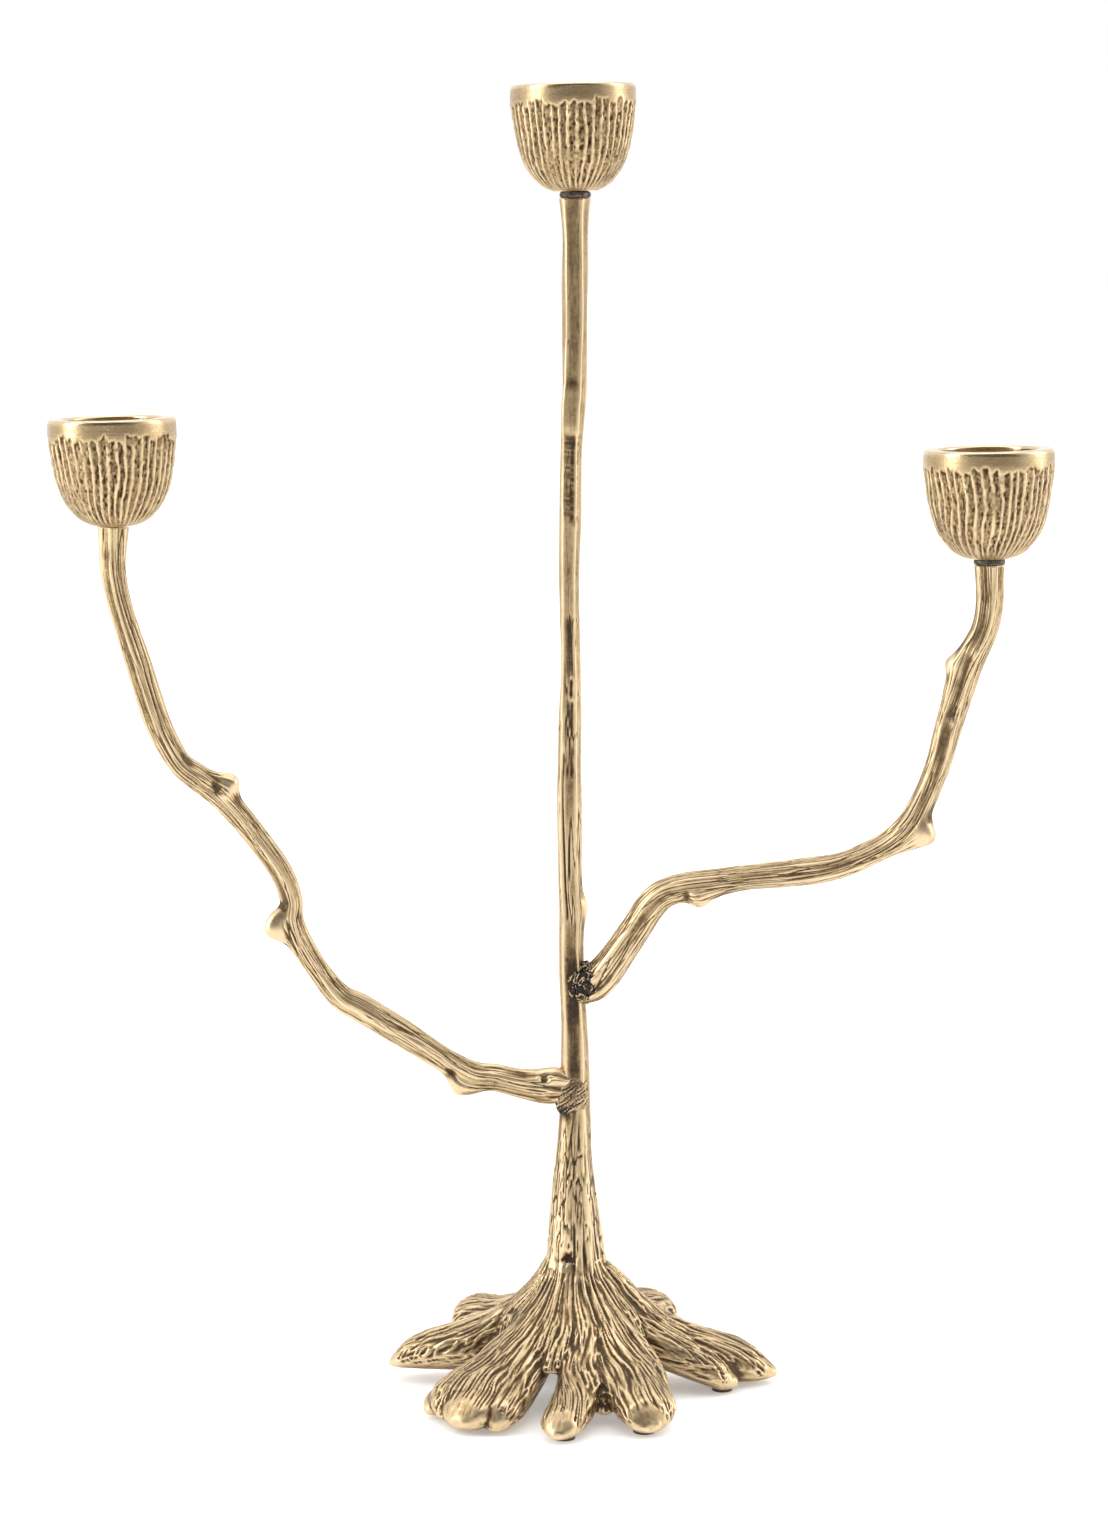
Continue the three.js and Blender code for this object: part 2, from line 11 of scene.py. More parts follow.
import bpy
import numpy as np
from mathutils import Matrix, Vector


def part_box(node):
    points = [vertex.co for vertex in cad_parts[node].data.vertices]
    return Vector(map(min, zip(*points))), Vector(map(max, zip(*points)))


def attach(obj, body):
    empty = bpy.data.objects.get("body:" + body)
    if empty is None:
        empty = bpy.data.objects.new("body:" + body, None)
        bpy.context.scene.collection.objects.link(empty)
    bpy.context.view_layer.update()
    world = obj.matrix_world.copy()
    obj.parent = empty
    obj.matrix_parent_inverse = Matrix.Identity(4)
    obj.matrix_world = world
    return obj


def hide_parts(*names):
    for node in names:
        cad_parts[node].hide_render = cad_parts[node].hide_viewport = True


MM = 0.001
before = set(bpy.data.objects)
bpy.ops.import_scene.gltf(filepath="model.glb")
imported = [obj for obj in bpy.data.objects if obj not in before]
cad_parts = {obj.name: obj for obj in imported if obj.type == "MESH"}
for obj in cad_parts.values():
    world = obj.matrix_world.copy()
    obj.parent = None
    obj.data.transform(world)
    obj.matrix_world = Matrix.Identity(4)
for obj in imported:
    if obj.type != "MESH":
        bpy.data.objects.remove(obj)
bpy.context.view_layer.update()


def middle(node):
    """The middle of a CAD node's box, in metres."""
    low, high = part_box(node)
    return (low + high) / 2


# The foot's bolt and washer sit on the trunk's axis.
AXIS = Vector((middle("base_washer").x, middle("base_washer").y, 0)) / MM

# ---- Limbs: [reach, height, radius] from the trunk outwards, each in its own upright plane ----

LEFT_TURN = math.radians(9.1)
RIGHT_TURN = math.radians(15)
SWELL = 1.02  # facets and grooves take away, so a limb starts a little thick
LINE_FINENESS = 24
LIMB_SIDES = 132
LIMB_SPACING = 0.62

TRUNK = [
    (0.3, 51.5, 14), (0.3, 57.3, 12.8), (0.2, 69, 11.4), (0, 79, 10.2), (-0.2, 89, 9.1), (-0.2, 99, 7.9),
    (0.1, 109, 7.2), (0.3, 119, 6.8), (0.3, 131, 6.4), (0.2, 147, 6), (-0.2, 160, 5.6), (-0.9, 175, 5.6),
    (-1.4, 190, 5.3),
    (-1.2, 206, 5.4), (-1.9, 220, 5.1), (-2.2, 254, 5.3), (-2.2, 268, 4.9), (-2, 290, 4.8), (-1.7, 308, 4.3),
    (-2, 325, 4.1), (-2.4, 350, 4.3), (-2, 372, 4.6), (-1.7, 398, 4.5), (-1, 417, 5.2), (-0.3, 430, 5.2),
    (-0.1, 470, 5.4), (0, 487, 5.3), (-0.2, 497, 5.8), (-0.2, 504.4, 6.6),
]
LEFT_BRANCH = [
    (0, 130, 4.2), (6, 130.4, 6.3), (14, 131.6, 7.1), (24, 133.3, 6.1), (34, 135.9, 5.8), (45, 137.8, 6),
    (58, 146, 5.3), (74, 157, 5.8), (91, 168, 5.9), (100, 173.6, 5.3), (109, 185, 4.6), (116, 196.5, 5.1),
    (119.8, 206.5, 5), (120, 216, 4.6), (125, 229, 4.7), (139, 248.6, 5), (150, 261, 5.5), (158, 267.5, 5.5),
    (166, 274.6, 4.9), (174, 290.5, 5.3), (182, 317, 5.2), (188, 337, 4.8), (191, 352, 5.1),
    (191.2, 362, 5.6), (190.8, 371.8, 6.3),
]
RIGHT_BRANCH = [
    (0, 171, 4.4), (5, 173.7, 6.7), (10.5, 177.5, 7.6), (17, 185.7, 7), (27, 201, 6.5), (33, 210.2, 6.5),
    (39, 216, 6.2), (48, 219.4, 6), (60, 221.7, 5.7), (75, 224.6, 5.3), (95, 227.5, 5.8), (113, 231.3, 5.4),
    (130, 239.3, 5.2), (141, 248, 5.6), (147.8, 260, 5.1), (153.9, 276, 5.2), (158.2, 293, 5.6),
    (162.2, 306, 5.7), (166.2, 319, 6), (171.6, 331, 5.5), (173.5, 342, 5.7), (173.4, 352, 5.8),
    (173.2, 357.5, 6.2),
]

# ---- Cups: outline as [radius, height above the seat] ----

CUP_TILT = math.radians(-1.3)
CUP_HEIGHT = 43
CUPS = {  # reach and height of the seat, the limb's turn, size
    "centre_cup": (0, 507.3, 0, 1),
    "left_cup": (-189.8, 372.3, LEFT_TURN, 1.015),
    "right_cup": (173.2, 360.3, -RIGHT_TURN, 1.025),
}
CUP_OUTSIDE = [
    (8.5, 0), (11.4, 1.1), (14.5, 2.9), (17.3, 5.7), (19.9, 9.3), (21.8, 13.3), (23.2, 18), (24.2, 23),
    (25, 28.5), (25.75, 35), (25.75, 39.5), (25.6, 42.2), (25.1, 42.95),
]
SCREW_HOLE = 2.6
SEAT_EDGE = 8.2
BORE = 20
BORE_DEPTH = 20
RECESS_DEPTH = 26.5
FLOOR_DEPTH = 31
CUP_INSIDE = [  # radius and depth below the rim
    (BORE + 0.4, 0), (BORE, 0.6), (BORE, BORE_DEPTH - 0.4), (BORE - 0.4, BORE_DEPTH), (16.3, BORE_DEPTH),
    (15.9, BORE_DEPTH + 0.4), (14.6, RECESS_DEPTH), (11.4, FLOOR_DEPTH - 0.3), (10.6, FLOOR_DEPTH),
    (SCREW_HOLE, FLOOR_DEPTH),
]
RIM_BAND = 6.2
RIBS = 43
CUP_SIDES = 420
CUP_SPACING = 0.37
BAND_POLISH = 0.12

# ---- Foot ----

FOOT_VOXEL = 0.00045
FOOT_TRIANGLES = 190000
FOOT_RIDGE = [  # the height of the roots' tops at a distance from the axis
    (12.8, 57), (15.8, 50), (18.5, 46.5), (22, 42.5), (27, 37.5), (34, 33), (48, 26), (60, 22.5), (71, 18.5),
    (80, 13), (88, 7),
]
TOE_HEIGHT = 5
TOE_TIPS = [  # angle, distance from the axis, how far the polish reaches
    (175, 79, 9), (218, 78, 9), (234.8, 84, 11), (244, 79, 8), (265, 83, 10), (293, 81, 10), (350, 72, 9),
    (1, 87, 9), (59, 84, 9), (93, 79, 9), (126, 86, 9),
]


# ---- Noise and curves ----

def lattice(cells, seed):
    """A repeatable value from 0 to 1 for every whole-numbered cell."""
    mixed = (cells[0] * 374761393 + cells[1] * 668265263 + cells[2] * 1442695041 + seed * 97531) & 0xFFFFFFFF
    mixed = ((mixed ^ (mixed >> 13)) * 1274126177) & 0xFFFFFFFF
    return (mixed ^ (mixed >> 16)) / 0xFFFFFFFF


def noise(x, y, z, seed):
    """Smooth noise from -1 to 1, with about one bump in every unit."""
    points = np.stack(np.broadcast_arrays(x, y, z)).astype(float)
    cell = np.floor(points).astype(np.int64)
    part = points - cell
    ease = part * part * (3 - 2 * part)
    total = 0
    for corner in np.ndindex(2, 2, 2):
        share = 1
        for axis in range(3):
            share = share * (ease[axis] if corner[axis] else 1 - ease[axis])
        total = total + share * lattice([cell[axis] + corner[axis] for axis in range(3)], seed)
    return 2 * total - 1


def layered(x, y, z, seed):
    """Noise with finer and fainter layers on top."""
    total = 0
    for layer in range(3):
        scale = 2.1 ** layer
        total = total + noise(x * scale, y * scale, z * scale, seed + layer) / 1.9 ** layer
    return total / 1.6


def step(low, high, value):
    """0 below low, 1 above high, and smooth between them."""
    share = np.clip((value - low) / (high - low), 0, 1)
    return share * share * (3 - 2 * share)


def stretch(value, start, end, soft=6):
    """1 between start and end, and 0 away from them."""
    return step(start - soft, start, value) * (1 - step(end, end + soft, value))


def smooth_line(points):
    """A smooth curve through given points, and the distance along it."""
    known = np.array(points, float)
    ends = [2 * known[0] - known[1], *known, 2 * known[-1] - known[-2]]
    t = np.linspace(0, 1, LINE_FINENESS, endpoint=False)[:, None]
    spans = [
        0.5 * (2 * b + (c - a) * t + (2 * a - 5 * b + 4 * c - d) * t ** 2 + (3 * b - a - 3 * c + d) * t ** 3)
        for a, b, c, d in zip(ends, ends[1:], ends[2:], ends[3:])
    ]
    line = np.vstack([*spans, known[-1:]])
    gaps = np.linalg.norm(np.diff(line[:, :-1], axis=0), axis=1)
    return line, np.concatenate([[0], np.cumsum(gaps)])


def evenly(points, spacing):
    """The same curve at even spacing: columns of the points, and the distance along."""
    line, along = smooth_line(points)
    at = np.linspace(0, along[-1], int(along[-1] / spacing) + 1)
    return np.column_stack([np.interp(at, along, column) for column in line.T]), at


# ---- Meshes ----

def ring_faces(rings, sides, closed=False):
    """Quads between rings of points, going round outwards."""
    first = np.arange(rings if closed else rings - 1)[:, None]
    here = np.arange(sides)[None, :]
    there = (here + 1) % sides
    above = (first + 1) % rings
    quads = [first * sides + here, first * sides + there, above * sides + there, above * sides + here]
    return np.stack(np.broadcast_arrays(*quads), -1).reshape(-1, 4)


def end_caps(rings, sides):
    """The faces that close the first and the last ring."""
    return [np.arange(sides)[::-1], (rings - 1) * sides + np.arange(sides)]


def mesh_piece(name, points, quads, caps=()):
    """A mesh object from millimetre points beside the trunk's axis."""
    corners = np.concatenate([np.ravel(quads), *[np.asarray(cap) for cap in caps]]).astype(np.int32)
    totals = np.array([4] * len(quads) + [len(cap) for cap in caps], np.int32)
    starts = np.concatenate([[0], np.cumsum(totals)[:-1]]).astype(np.int32)
    made = bpy.data.meshes.new(name)
    made.vertices.add(len(points))
    made.vertices.foreach_set("co", ((points + np.array(AXIS)) * MM).astype(np.float32).ravel())
    made.loops.add(len(corners))
    made.loops.foreach_set("vertex_index", corners)
    made.polygons.add(len(totals))
    made.polygons.foreach_set("loop_start", starts)
    made.polygons.foreach_set("loop_total", totals)
    made.update(calc_edges=True)
    made.validate()
    made.shade_smooth()
    piece = bpy.data.objects.new(name, made)
    bpy.context.scene.collection.objects.link(piece)
    return piece


def mesh_points(mesh, what="co"):
    """Vertex positions or normals as an array."""
    found = np.empty(len(mesh.vertices) * 3, np.float32)
    if what == "co":
        mesh.vertices.foreach_get("co", found)
    else:
        mesh.vertex_normals.foreach_get("vector", found)
    return found.reshape(-1, 3).astype(float)


def surroundings(values, edges, rounds):
    """Every vertex's value, averaged again and again with its neighbours'."""
    count = len(values)
    near = np.bincount(edges.ravel(), minlength=count)[:, None] + 1
    for _ in range(rounds):
        total = values.copy()
        for axis in range(values.shape[1]):
            column = values[:, axis]
            total[:, axis] += np.bincount(edges[:, 0], column[edges[:, 1]], count)
            total[:, axis] += np.bincount(edges[:, 1], column[edges[:, 0]], count)
        values = total / near
    return values


def note_hollows(piece, sunk, fine_gain, fine=6, broad=40, broad_gain=1.6, deepest=1.0):
    """Writes how sunken every vertex is, 0 to 1 with 0.5 for level, for the patina to follow.

    It's measured against the surface averaged over a few vertices and over many. sunk is added
    to it for stains, and deepest is the darkest it may get.
    """
    mesh = piece.data
    edges = np.empty(len(mesh.edges) * 2, np.int32)
    mesh.edges.foreach_get("vertices", edges)
    edges = edges.reshape(-1, 2)
    points = mesh_points(mesh) / MM
    normals = mesh_points(mesh, "normal")
    near = surroundings(points, edges, fine)
    around = surroundings(near, edges, broad)
    narrow = np.einsum("ij,ij->i", near - points, normals)
    wide = np.einsum("ij,ij->i", around - points, normals)
    hollow = 0.5 + narrow * fine_gain + wide * broad_gain
    hollow = hollow + sunk
    attribute = mesh.attributes.new("hollow", "FLOAT", "POINT")
    attribute.data.foreach_set("value", np.clip(hollow, 0, deepest).astype(np.float32))


# ---- Bark ----

def grooves(across_x, across_y, along, seed, width, length):
    """Long meandering cuts that run along a limb: 1 in a cut, 0 on the bark between."""
    lines = noise(across_x, across_y, along / length, seed)
    lines = lines + 0.45 * noise(across_x * 2.3, across_y * 2.3, along / (length * 0.6), seed + 7)
    here = step(-0.35, 0.35, noise(across_x * 0.7, across_y * 0.7, along / (length * 0.5), seed + 13))
    return (1 - step(0, width, np.abs(lines))) * (0.35 + 0.65 * here)


def flattened(turn, radius, facets, soft=0.08):
    """The radius after flat faces are cut: each is (direction, share of the radius that's left)."""
    left = radius + 0 * turn
    for direction, share in facets:
        facing = np.cos(turn - direction)
        flat = np.where(facing > 0.3, radius * share / np.maximum(facing, 0.3), 1e3)
        mix = np.clip(0.5 + 0.5 * (flat - left) / soft, 0, 1)
        left = flat * (1 - mix) + left * mix - soft * mix * (1 - mix)
    return left


def near_turn(turn, centre):
    """The difference between two directions round a limb, from -pi to pi."""
    return (turn - centre + math.pi) % (2 * math.pi) - math.pi


def swept(name, points, turn, side, relief, stain):
    """A limb swept along its points, and how stained every vertex is.

    relief(turn, along, height, radius) gives the final radius, and stain(turn, along, height)
    the patina beyond what the hollows hold. Round a limb, a turn of 0 faces the camera.
    """
    line, along = evenly(points, LIMB_SPACING)
    outward = np.array([side * math.cos(turn), -math.sin(turn), 0]) if side else np.array([1.0, 0, 0])
    centre = line[:, :1] * outward + line[:, 1:2] * np.array([0, 0, 1.0])
    tangent = np.gradient(centre, axis=0)
    tangent /= np.linalg.norm(tangent, axis=1)[:, None]
    front = np.cross(outward, [0, 0, 1.0])
    front = front if front[1] < 0 else -front
    right = np.cross(tangent, front)
    around = np.linspace(0, 2 * math.pi, LIMB_SIDES, endpoint=False)[None, :]
    radius = relief(around, along[:, None], line[:, 1:2], line[:, 2:3] * SWELL)
    spread = front * np.cos(around)[..., None] + right[:, None, :] * np.sin(around)[..., None]
    surface = centre[:, None, :] + spread * radius[..., None]
    rings = len(along)
    stained = stain(around, along[:, None], line[:, 1:2]) + 0 * radius
    faces = ring_faces(rings, LIMB_SIDES)
    piece = mesh_piece(name, surface.reshape(-1, 3), faces, end_caps(rings, LIMB_SIDES))
    return piece, stained.ravel()


def stripe(turn, centre, width):
    """1 along a stripe on one side of a limb, 0 away from it, with straight edges."""
    return 1 - step(0.75, 1.1, np.abs(near_turn(turn, centre)) / width)


def knob(turn, along, at, direction, height, length, width):
    """A swelling on one side of a limb."""
    reach = np.exp(-((along - at) / length) ** 2)
    return height * reach * np.exp(-(near_turn(turn, math.radians(direction)) / width) ** 2)


def along_at(points, height):
    """How far along a limb its centre first comes to a height."""
    line, along = smooth_line(points)
    return along[np.argmax(line[:, 1] >= height)]


def trunk_relief(turn, along, height, radius):
    """The trunk's bark and the stem's cut faces, channels and file marks."""
    x = np.cos(turn)
    y = np.sin(turn)
    wander = 0.22 * noise(0, 0, along / 37, 3)
    broad = 0.99 - 0.18 * step(118, 140, height) + 0.05 * stretch(height, 338, 372, 10)
    facets = [
        (-0.1 + 0.4 * wander, broad),
        (-1.35 + wander, 0.9 + 0.04 * noise(0, 0, along / 30, 5)),
        (1.12 + wander * 0.6, 0.87 + 0.04 * noise(0, 0, along / 26, 8)),
        (2.4, 0.91),
        (-2.3 + wander, 0.9),
    ]
    shape = flattened(turn, radius, facets)
    shape = shape + 0.12 * layered(x * 0.9, y * 0.9, along / 17, 21)

    # Bark: coarse and fine below the branches, long cuts only on the stem above them.
    low = 1 - step(90, 122, height)
    bark = 0.16 + 0.84 * low + 0.4 * stretch(height, 205, 335, 10)
    cut = grooves(x * 2.1, y * 2.1, along, 31, 0.15, 24)
    dashes = grooves(x * 4.2, y * 4.2, along, 47, 0.24, 9) * low
    hairs = grooves(x * 6.5, y * 6.5, along, 53, 0.3, 16) * low
    shape = shape - bark * (0.5 * cut + 0.4 * dashes + 0.25 * hairs)
    shape = shape + (1 - step(62, 78, height)) * bark_ridges(radius * y, -radius * x, height)

    # The stem's own marks, from the right branch up: a cut, a rough channel, a notch and a smooth
    # channel, a filed flat, and a swelling.
    long_cut = np.exp(-(near_turn(turn, -0.55 + 0.12 * np.sin(along / 19)) / 0.13) ** 2)
    shape = shape - 0.5 * long_cut * stretch(height, 208, 272)
    channel = np.exp(-(near_turn(turn, 0) / 0.55) ** 2)
    rough = 1 + 0.6 * noise(x * 4, y * 4, along / 4, 35)
    shape = shape - 0.36 * channel * stretch(height, 268, 294, 5) * rough
    shape = shape - 0.42 * channel * stretch(height, 313, 326, 8)
    shape = shape - 0.5 * np.exp(-(near_turn(turn, 0.1) / 0.2) ** 2) * stretch(height, 300, 304, 3)
    shape = shape - 0.4 * np.exp(-(near_turn(turn, 0.35) / 0.5) ** 2) * stretch(height, 374, 404, 5)
    file_marks = noise(turn * 0.8, 0.4, along * 1.1 + turn * 0.5, 12)
    shape = shape + 0.06 * file_marks * stripe(turn, 0.1, 0.9) * stretch(height, 371, 407, 2)
    shape = shape + 0.5 * np.exp(-(near_turn(turn, -0.4) / 0.9) ** 2) * stretch(height, 411, 424, 6)

    # A bud above the right branch, and a pit where the trunk meets the foot.
    shape = shape + knob(turn, height, 208.5, 95, 1.5, 5, 0.6)
    pit = np.exp(-(near_turn(turn, -0.27) / 0.23) ** 2 - ((height - 58.8) / 2.4) ** 2)
    shape = shape - 1.7 * pit * (1 + 0.4 * noise(x * 9, y * 9, along / 1.6, 66))
    return shape


def trunk_stain(turn, along, height):
    """The trunk's brown stripes, and soot and dirt at its two joints."""
    x = np.cos(turn)
    y = np.sin(turn)
    clouds = 0.5 + 0.5 * layered(x * 2, y * 2, along / 16, 24)
    clean = 1 - 0.9 * stretch(height, 338, 371, 5) - 0.5 * stretch(height, 190, 300, 8)
    brown = 0.13 * stripe(turn, -0.1, 0.62) * step(60, 80, height) * clean
    brown = brown + 0.17 * stripe(turn, -0.16, 0.74) * stretch(height, 139, 167, 2)
    brown = brown + 0.16 * stripe(turn, 0.05, 0.5) * stretch(height, 308, 330, 4)
    brown = brown + 0.14 * stripe(turn, 0, 0.55) * stretch(height, 262, 296, 5) * step(0.3, 0.6, clouds)
    brown = brown + 0.07 * stripe(turn, -0.05, 0.6) * stretch(height, 374, 404, 3)
    brown = brown + 0.12 * stripe(turn, -0.12, 0.6) * stretch(height, 66, 124, 12)
    brown = brown + 0.22 * stripe(turn, -0.68, 0.07) * stretch(height, 335, 500, 8)
    corner = np.exp(-(near_turn(turn, -0.68) / 0.45) ** 2 - ((height - 121) / 4) ** 2)
    soot = np.exp(-(near_turn(turn, 0.25) / 0.8) ** 2 - ((height - 176) / 10.5) ** 2)
    flecks = 0.5 + 0.5 * layered(x * 5, y * 5, along / 4, 27)
    black = (1.1 * corner + 0.8 * soot) * (0.2 + 1.1 * flecks)
    flare = 0.15 * (1 - step(100, 135, height))
    return 0.05 + brown * (0.7 + 0.4 * clouds) + 0.1 * (clouds - 0.5) + black + flare


def left_relief(turn, along, _, radius):
    """The left branch: long cuts, three knots, and a flat pitted root."""
    x = np.cos(turn)
    y = np.sin(turn)
    total = along.max()
    bark = 1 - 0.7 * step(total - 120, total - 70, along)
    wander = 0.35 * noise(0, 0, along / 45, 4)
    facets = [
        (-0.5 + wander, 0.89),
        (0.05, 0.98 - 0.16 * (1 - step(14, 30, along))),
        (0.72 + wander, 0.91),
        (2.1, 0.93),
        (-1.75 + wander, 0.91),
    ]
    shape = flattened(turn, radius, facets, 0.1)
    shape = shape + 0.16 * layered(x, y, along / 16, 71)
    cut = grooves(x * 2.2, y * 2.2, along, 81, 0.16, 34)
    hairs = grooves(x * 6.2, y * 6.2, along, 85, 0.26, 26)
    shape = shape - bark * (0.6 * cut + 0.34 * hairs)
    scratch = np.exp(-(near_turn(turn, 0.25 + 0.1 * np.sin(along / 14)) / 0.09) ** 2)
    shape = shape - 0.35 * scratch * stretch(along, total - 95, total - 25, 8)

    # Three knots, each with a hollow beside it, then the ridged root with its pit.
    under = along_at(LEFT_BRANCH, 137.6) + 2
    shape = shape + knob(turn, along, under, -78, 4.4, 5.2, 0.62)
    shape = shape - knob(turn, along, under + 6.5, -35, 1.5, 2.6, 0.3)
    elbow = along_at(LEFT_BRANCH, 205)
    shape = shape + knob(turn, along, elbow, -84, 7.2, 5, 0.6)
    shape = shape - knob(turn, along, elbow + 7, -62, 0.6, 2.6, 0.4)
    bud = along_at(LEFT_BRANCH, 260.5)
    shape = shape + knob(turn, along, bud, 68, 5.6, 5, 0.75)
    shape = shape - knob(turn, along, bud + 2.8, 26, 2.3, 3.2, 0.4)
    root = 1 - step(7, 19, along)
    shape = shape + root * (2.2 * step(-0.1, 0.9, y) + 0.4 * np.cos(9 * turn + 1.2 * np.sin(along / 5)))
    shape = shape - knob(turn, along, 14.5, 38, 2.2, 1.5, 0.2)
    return shape


def left_stain(turn, along, _):
    """The left branch's brown sides, and its broad brown band higher up."""
    total = along.max()
    upper = step(total - 165, total - 140, along)
    clouds = 0.5 + 0.5 * layered(np.cos(turn) * 2, np.sin(turn) * 2, along / 14, 73)
    brown = 0.22 * stripe(turn, -0.3, 0.5) * upper * (1 - step(total - 12, total - 2, along))
    brown = brown + 0.17 * stripe(turn, 0.85, 0.3) * (1 - upper)
    brown = brown + 0.12 * stripe(turn, -0.75, 0.25) * (1 - upper)
    return 0.06 + 0.08 * upper + brown * (0.5 + 0.7 * clouds) + 0.09 * (clouds - 0.5)


def right_relief(turn, along, _, radius):
    """The right branch: long cuts, a twist, a stub at the bend and a shoulder above it."""
    x = np.cos(turn)
    y = np.sin(turn)
    total = along.max()
    bark = 1 - 0.5 * step(total - 60, total - 35, along)
    wander = 0.4 * noise(0, 0, along / 40, 14)
    facets = [
        (-0.15 + wander, 0.88),
        (-1.3 + wander, 0.91),
        (1.1 + wander, 0.9),
        (2.6, 0.92),
    ]
    shape = flattened(turn, radius, facets, 0.1)
    shape = shape + 0.2 * layered(x, y, along / 14, 91)
    cut = grooves(x * 2.2, y * 2.2, along, 101, 0.17, 34)
    hairs = grooves(x * 6.2, y * 6.2, along, 105, 0.28, 26)
    shape = shape - bark * (0.66 * cut + 0.42 * hairs)

    # The twist, the stub at the bend, the shoulder with a scoop, then the ridged root.
    twist = along_at(RIGHT_BRANCH, 220.5)
    shape = shape + knob(turn, along, twist, 72, 4.2, 6.5, 0.5)
    shape = shape - knob(turn, along, twist - 5, 40, 1.4, 2.2, 0.4)
    stub = along_at(RIGHT_BRANCH, 249)
    shape = shape + knob(turn, along, stub + 1.8, 86, 4.6, 4.2, 0.66)
    shape = shape + knob(turn, along, stub - 2.5, 84, 3.2, 7.5, 0.62)
    shoulder = along_at(RIGHT_BRANCH, 315)
    shape = shape + knob(turn, along, shoulder, -80, 3.3, 4.4, 0.6)
    shape = shape + knob(turn, along, shoulder - 9, -80, 1.5, 7, 0.6)
    scoop = np.exp(-(near_turn(turn, 0.15) / 0.35) ** 2)
    shape = shape - 0.6 * scoop * stretch(along, total - 62, total - 40, 5)
    root = 1 - step(9, 24, along)
    shape = shape + 0.5 * root * np.cos(8 * turn + 1.4 * np.sin(along / 6))
    return shape


def right_stain(turn, along, height):
    """The right branch's brown bands, and soot towards its braze."""
    clouds = 0.5 + 0.5 * layered(np.cos(turn) * 2, np.sin(turn) * 2, along / 14, 93)
    run = stretch(height, 218, 240, 3)
    brown = 0.24 * stripe(turn, -0.5, 0.4) * run
    brown = brown + 0.2 * stripe(turn, 0.05, 0.5) * stretch(height, 262, 308, 6)
    brown = brown + 0.26 * stripe(turn, -0.55, 0.12) * step(322, 328, height)
    brown = brown + 0.2 * stripe(turn, -0.2, 0.07) * step(328, 334, height)
    brown = brown + 0.12 * stripe(turn, 0.3, 0.5) * (1 - step(40, 60, along))
    flecks = 0.5 + 0.5 * layered(np.cos(turn) * 4, np.sin(turn) * 4, along / 5, 97)
    soot = 0.7 * (1 - step(8, 21, along)) * (0.1 + 1.1 * flecks)
    return 0.23 + 0.06 * run + brown * (0.5 + 0.7 * clouds) + 0.09 * (clouds - 0.5) + soot


# ---- Cups ----

def straight(points, spacing):
    """Points spread evenly along straight runs."""
    known = np.array(points, float)
    gaps = np.linalg.norm(np.diff(known, axis=0), axis=1)
    along = np.concatenate([[0], np.cumsum(gaps)])
    at = np.union1d(np.linspace(0, along[-1], int(along[-1] / spacing) + 1), along)
    return np.column_stack([np.interp(at, along, column) for column in known.T])


def rib_relief(x, y, angle, z, climb, seed):
    """The cup's outside: how far it stands out, and how deep in a groove every point is."""
    swirl = 0.5 * noise(x * 1.4, y * 1.4, z / 26, seed) + 0.24 * noise(x * 5, y * 5, z / 11, seed + 1)
    rib = RIBS * angle / (2 * math.pi) + swirl + 0.5 * step(22, 2, z)
    rib = rib + 0.07 * noise(x * 16, y * 16, z / 2.2, seed + 4)
    number = np.round(rib)
    off = np.abs(rib - number)

    # Each rib ends at its own height below the band, and some fade out on the way.
    own = lattice([(number % RIBS).astype(np.int64), np.int64(seed), np.int64(5)], seed)
    top = CUP_HEIGHT - RIM_BAND + 0.4 - 2.8 * own ** 2 + 1.3 * noise(x * 15, y * 15, 0, seed + 5)
    fade = step(0, 1.5, top - z)
    blobs = 0.82 + 0.36 * noise(x * 17, y * 17, z / 1.6, seed + 2)
    width = 0.19 + 0.05 * noise(x * 8, y * 8, z / 6, seed + 3) + 0.09 * (1 - step(6, 17, climb))
    missing = step(0.15, 0.55, noise(x * 2.6, y * 2.6, z / 12, seed + 6))
    ridge = np.exp(-((0.5 - off) / width) ** 2) * blobs * (1 - 0.75 * missing)
    depth = (0.25 + 0.75 * step(5, 16, climb)) * (0.75 + 0.25 * own) * fade

    # The ground between the ribs is granular and pitted.
    ground = depth * (1 - ridge)
    pits = step(0.1, 0.8, noise(x * 27, y * 27, z / 1.9, seed + 9)) * ground
    grain = layered(x * 21, y * 21, z / 1.25, seed + 12)
    waves = 0.14 * noise(x * 3, y * 3, z / 12, seed + 11) * (1 - step(41.3, 42.6, z))
    stand = waves - 0.66 * ground - 0.25 * pits + 0.2 * grain * ground
    sunk = 0.12 * ground + 0.2 * pits - 0.1 * grain * ground - 0.16 * ridge * fade
    return stand, sunk, step(-0.5, 0.7, z - top)


def leaning(angle):
    """A turn from upright towards the right."""
    return np.array([
        [math.cos(angle), 0, math.sin(angle)],
        [0, 1, 0],
        [-math.sin(angle), 0, math.cos(angle)],
    ])


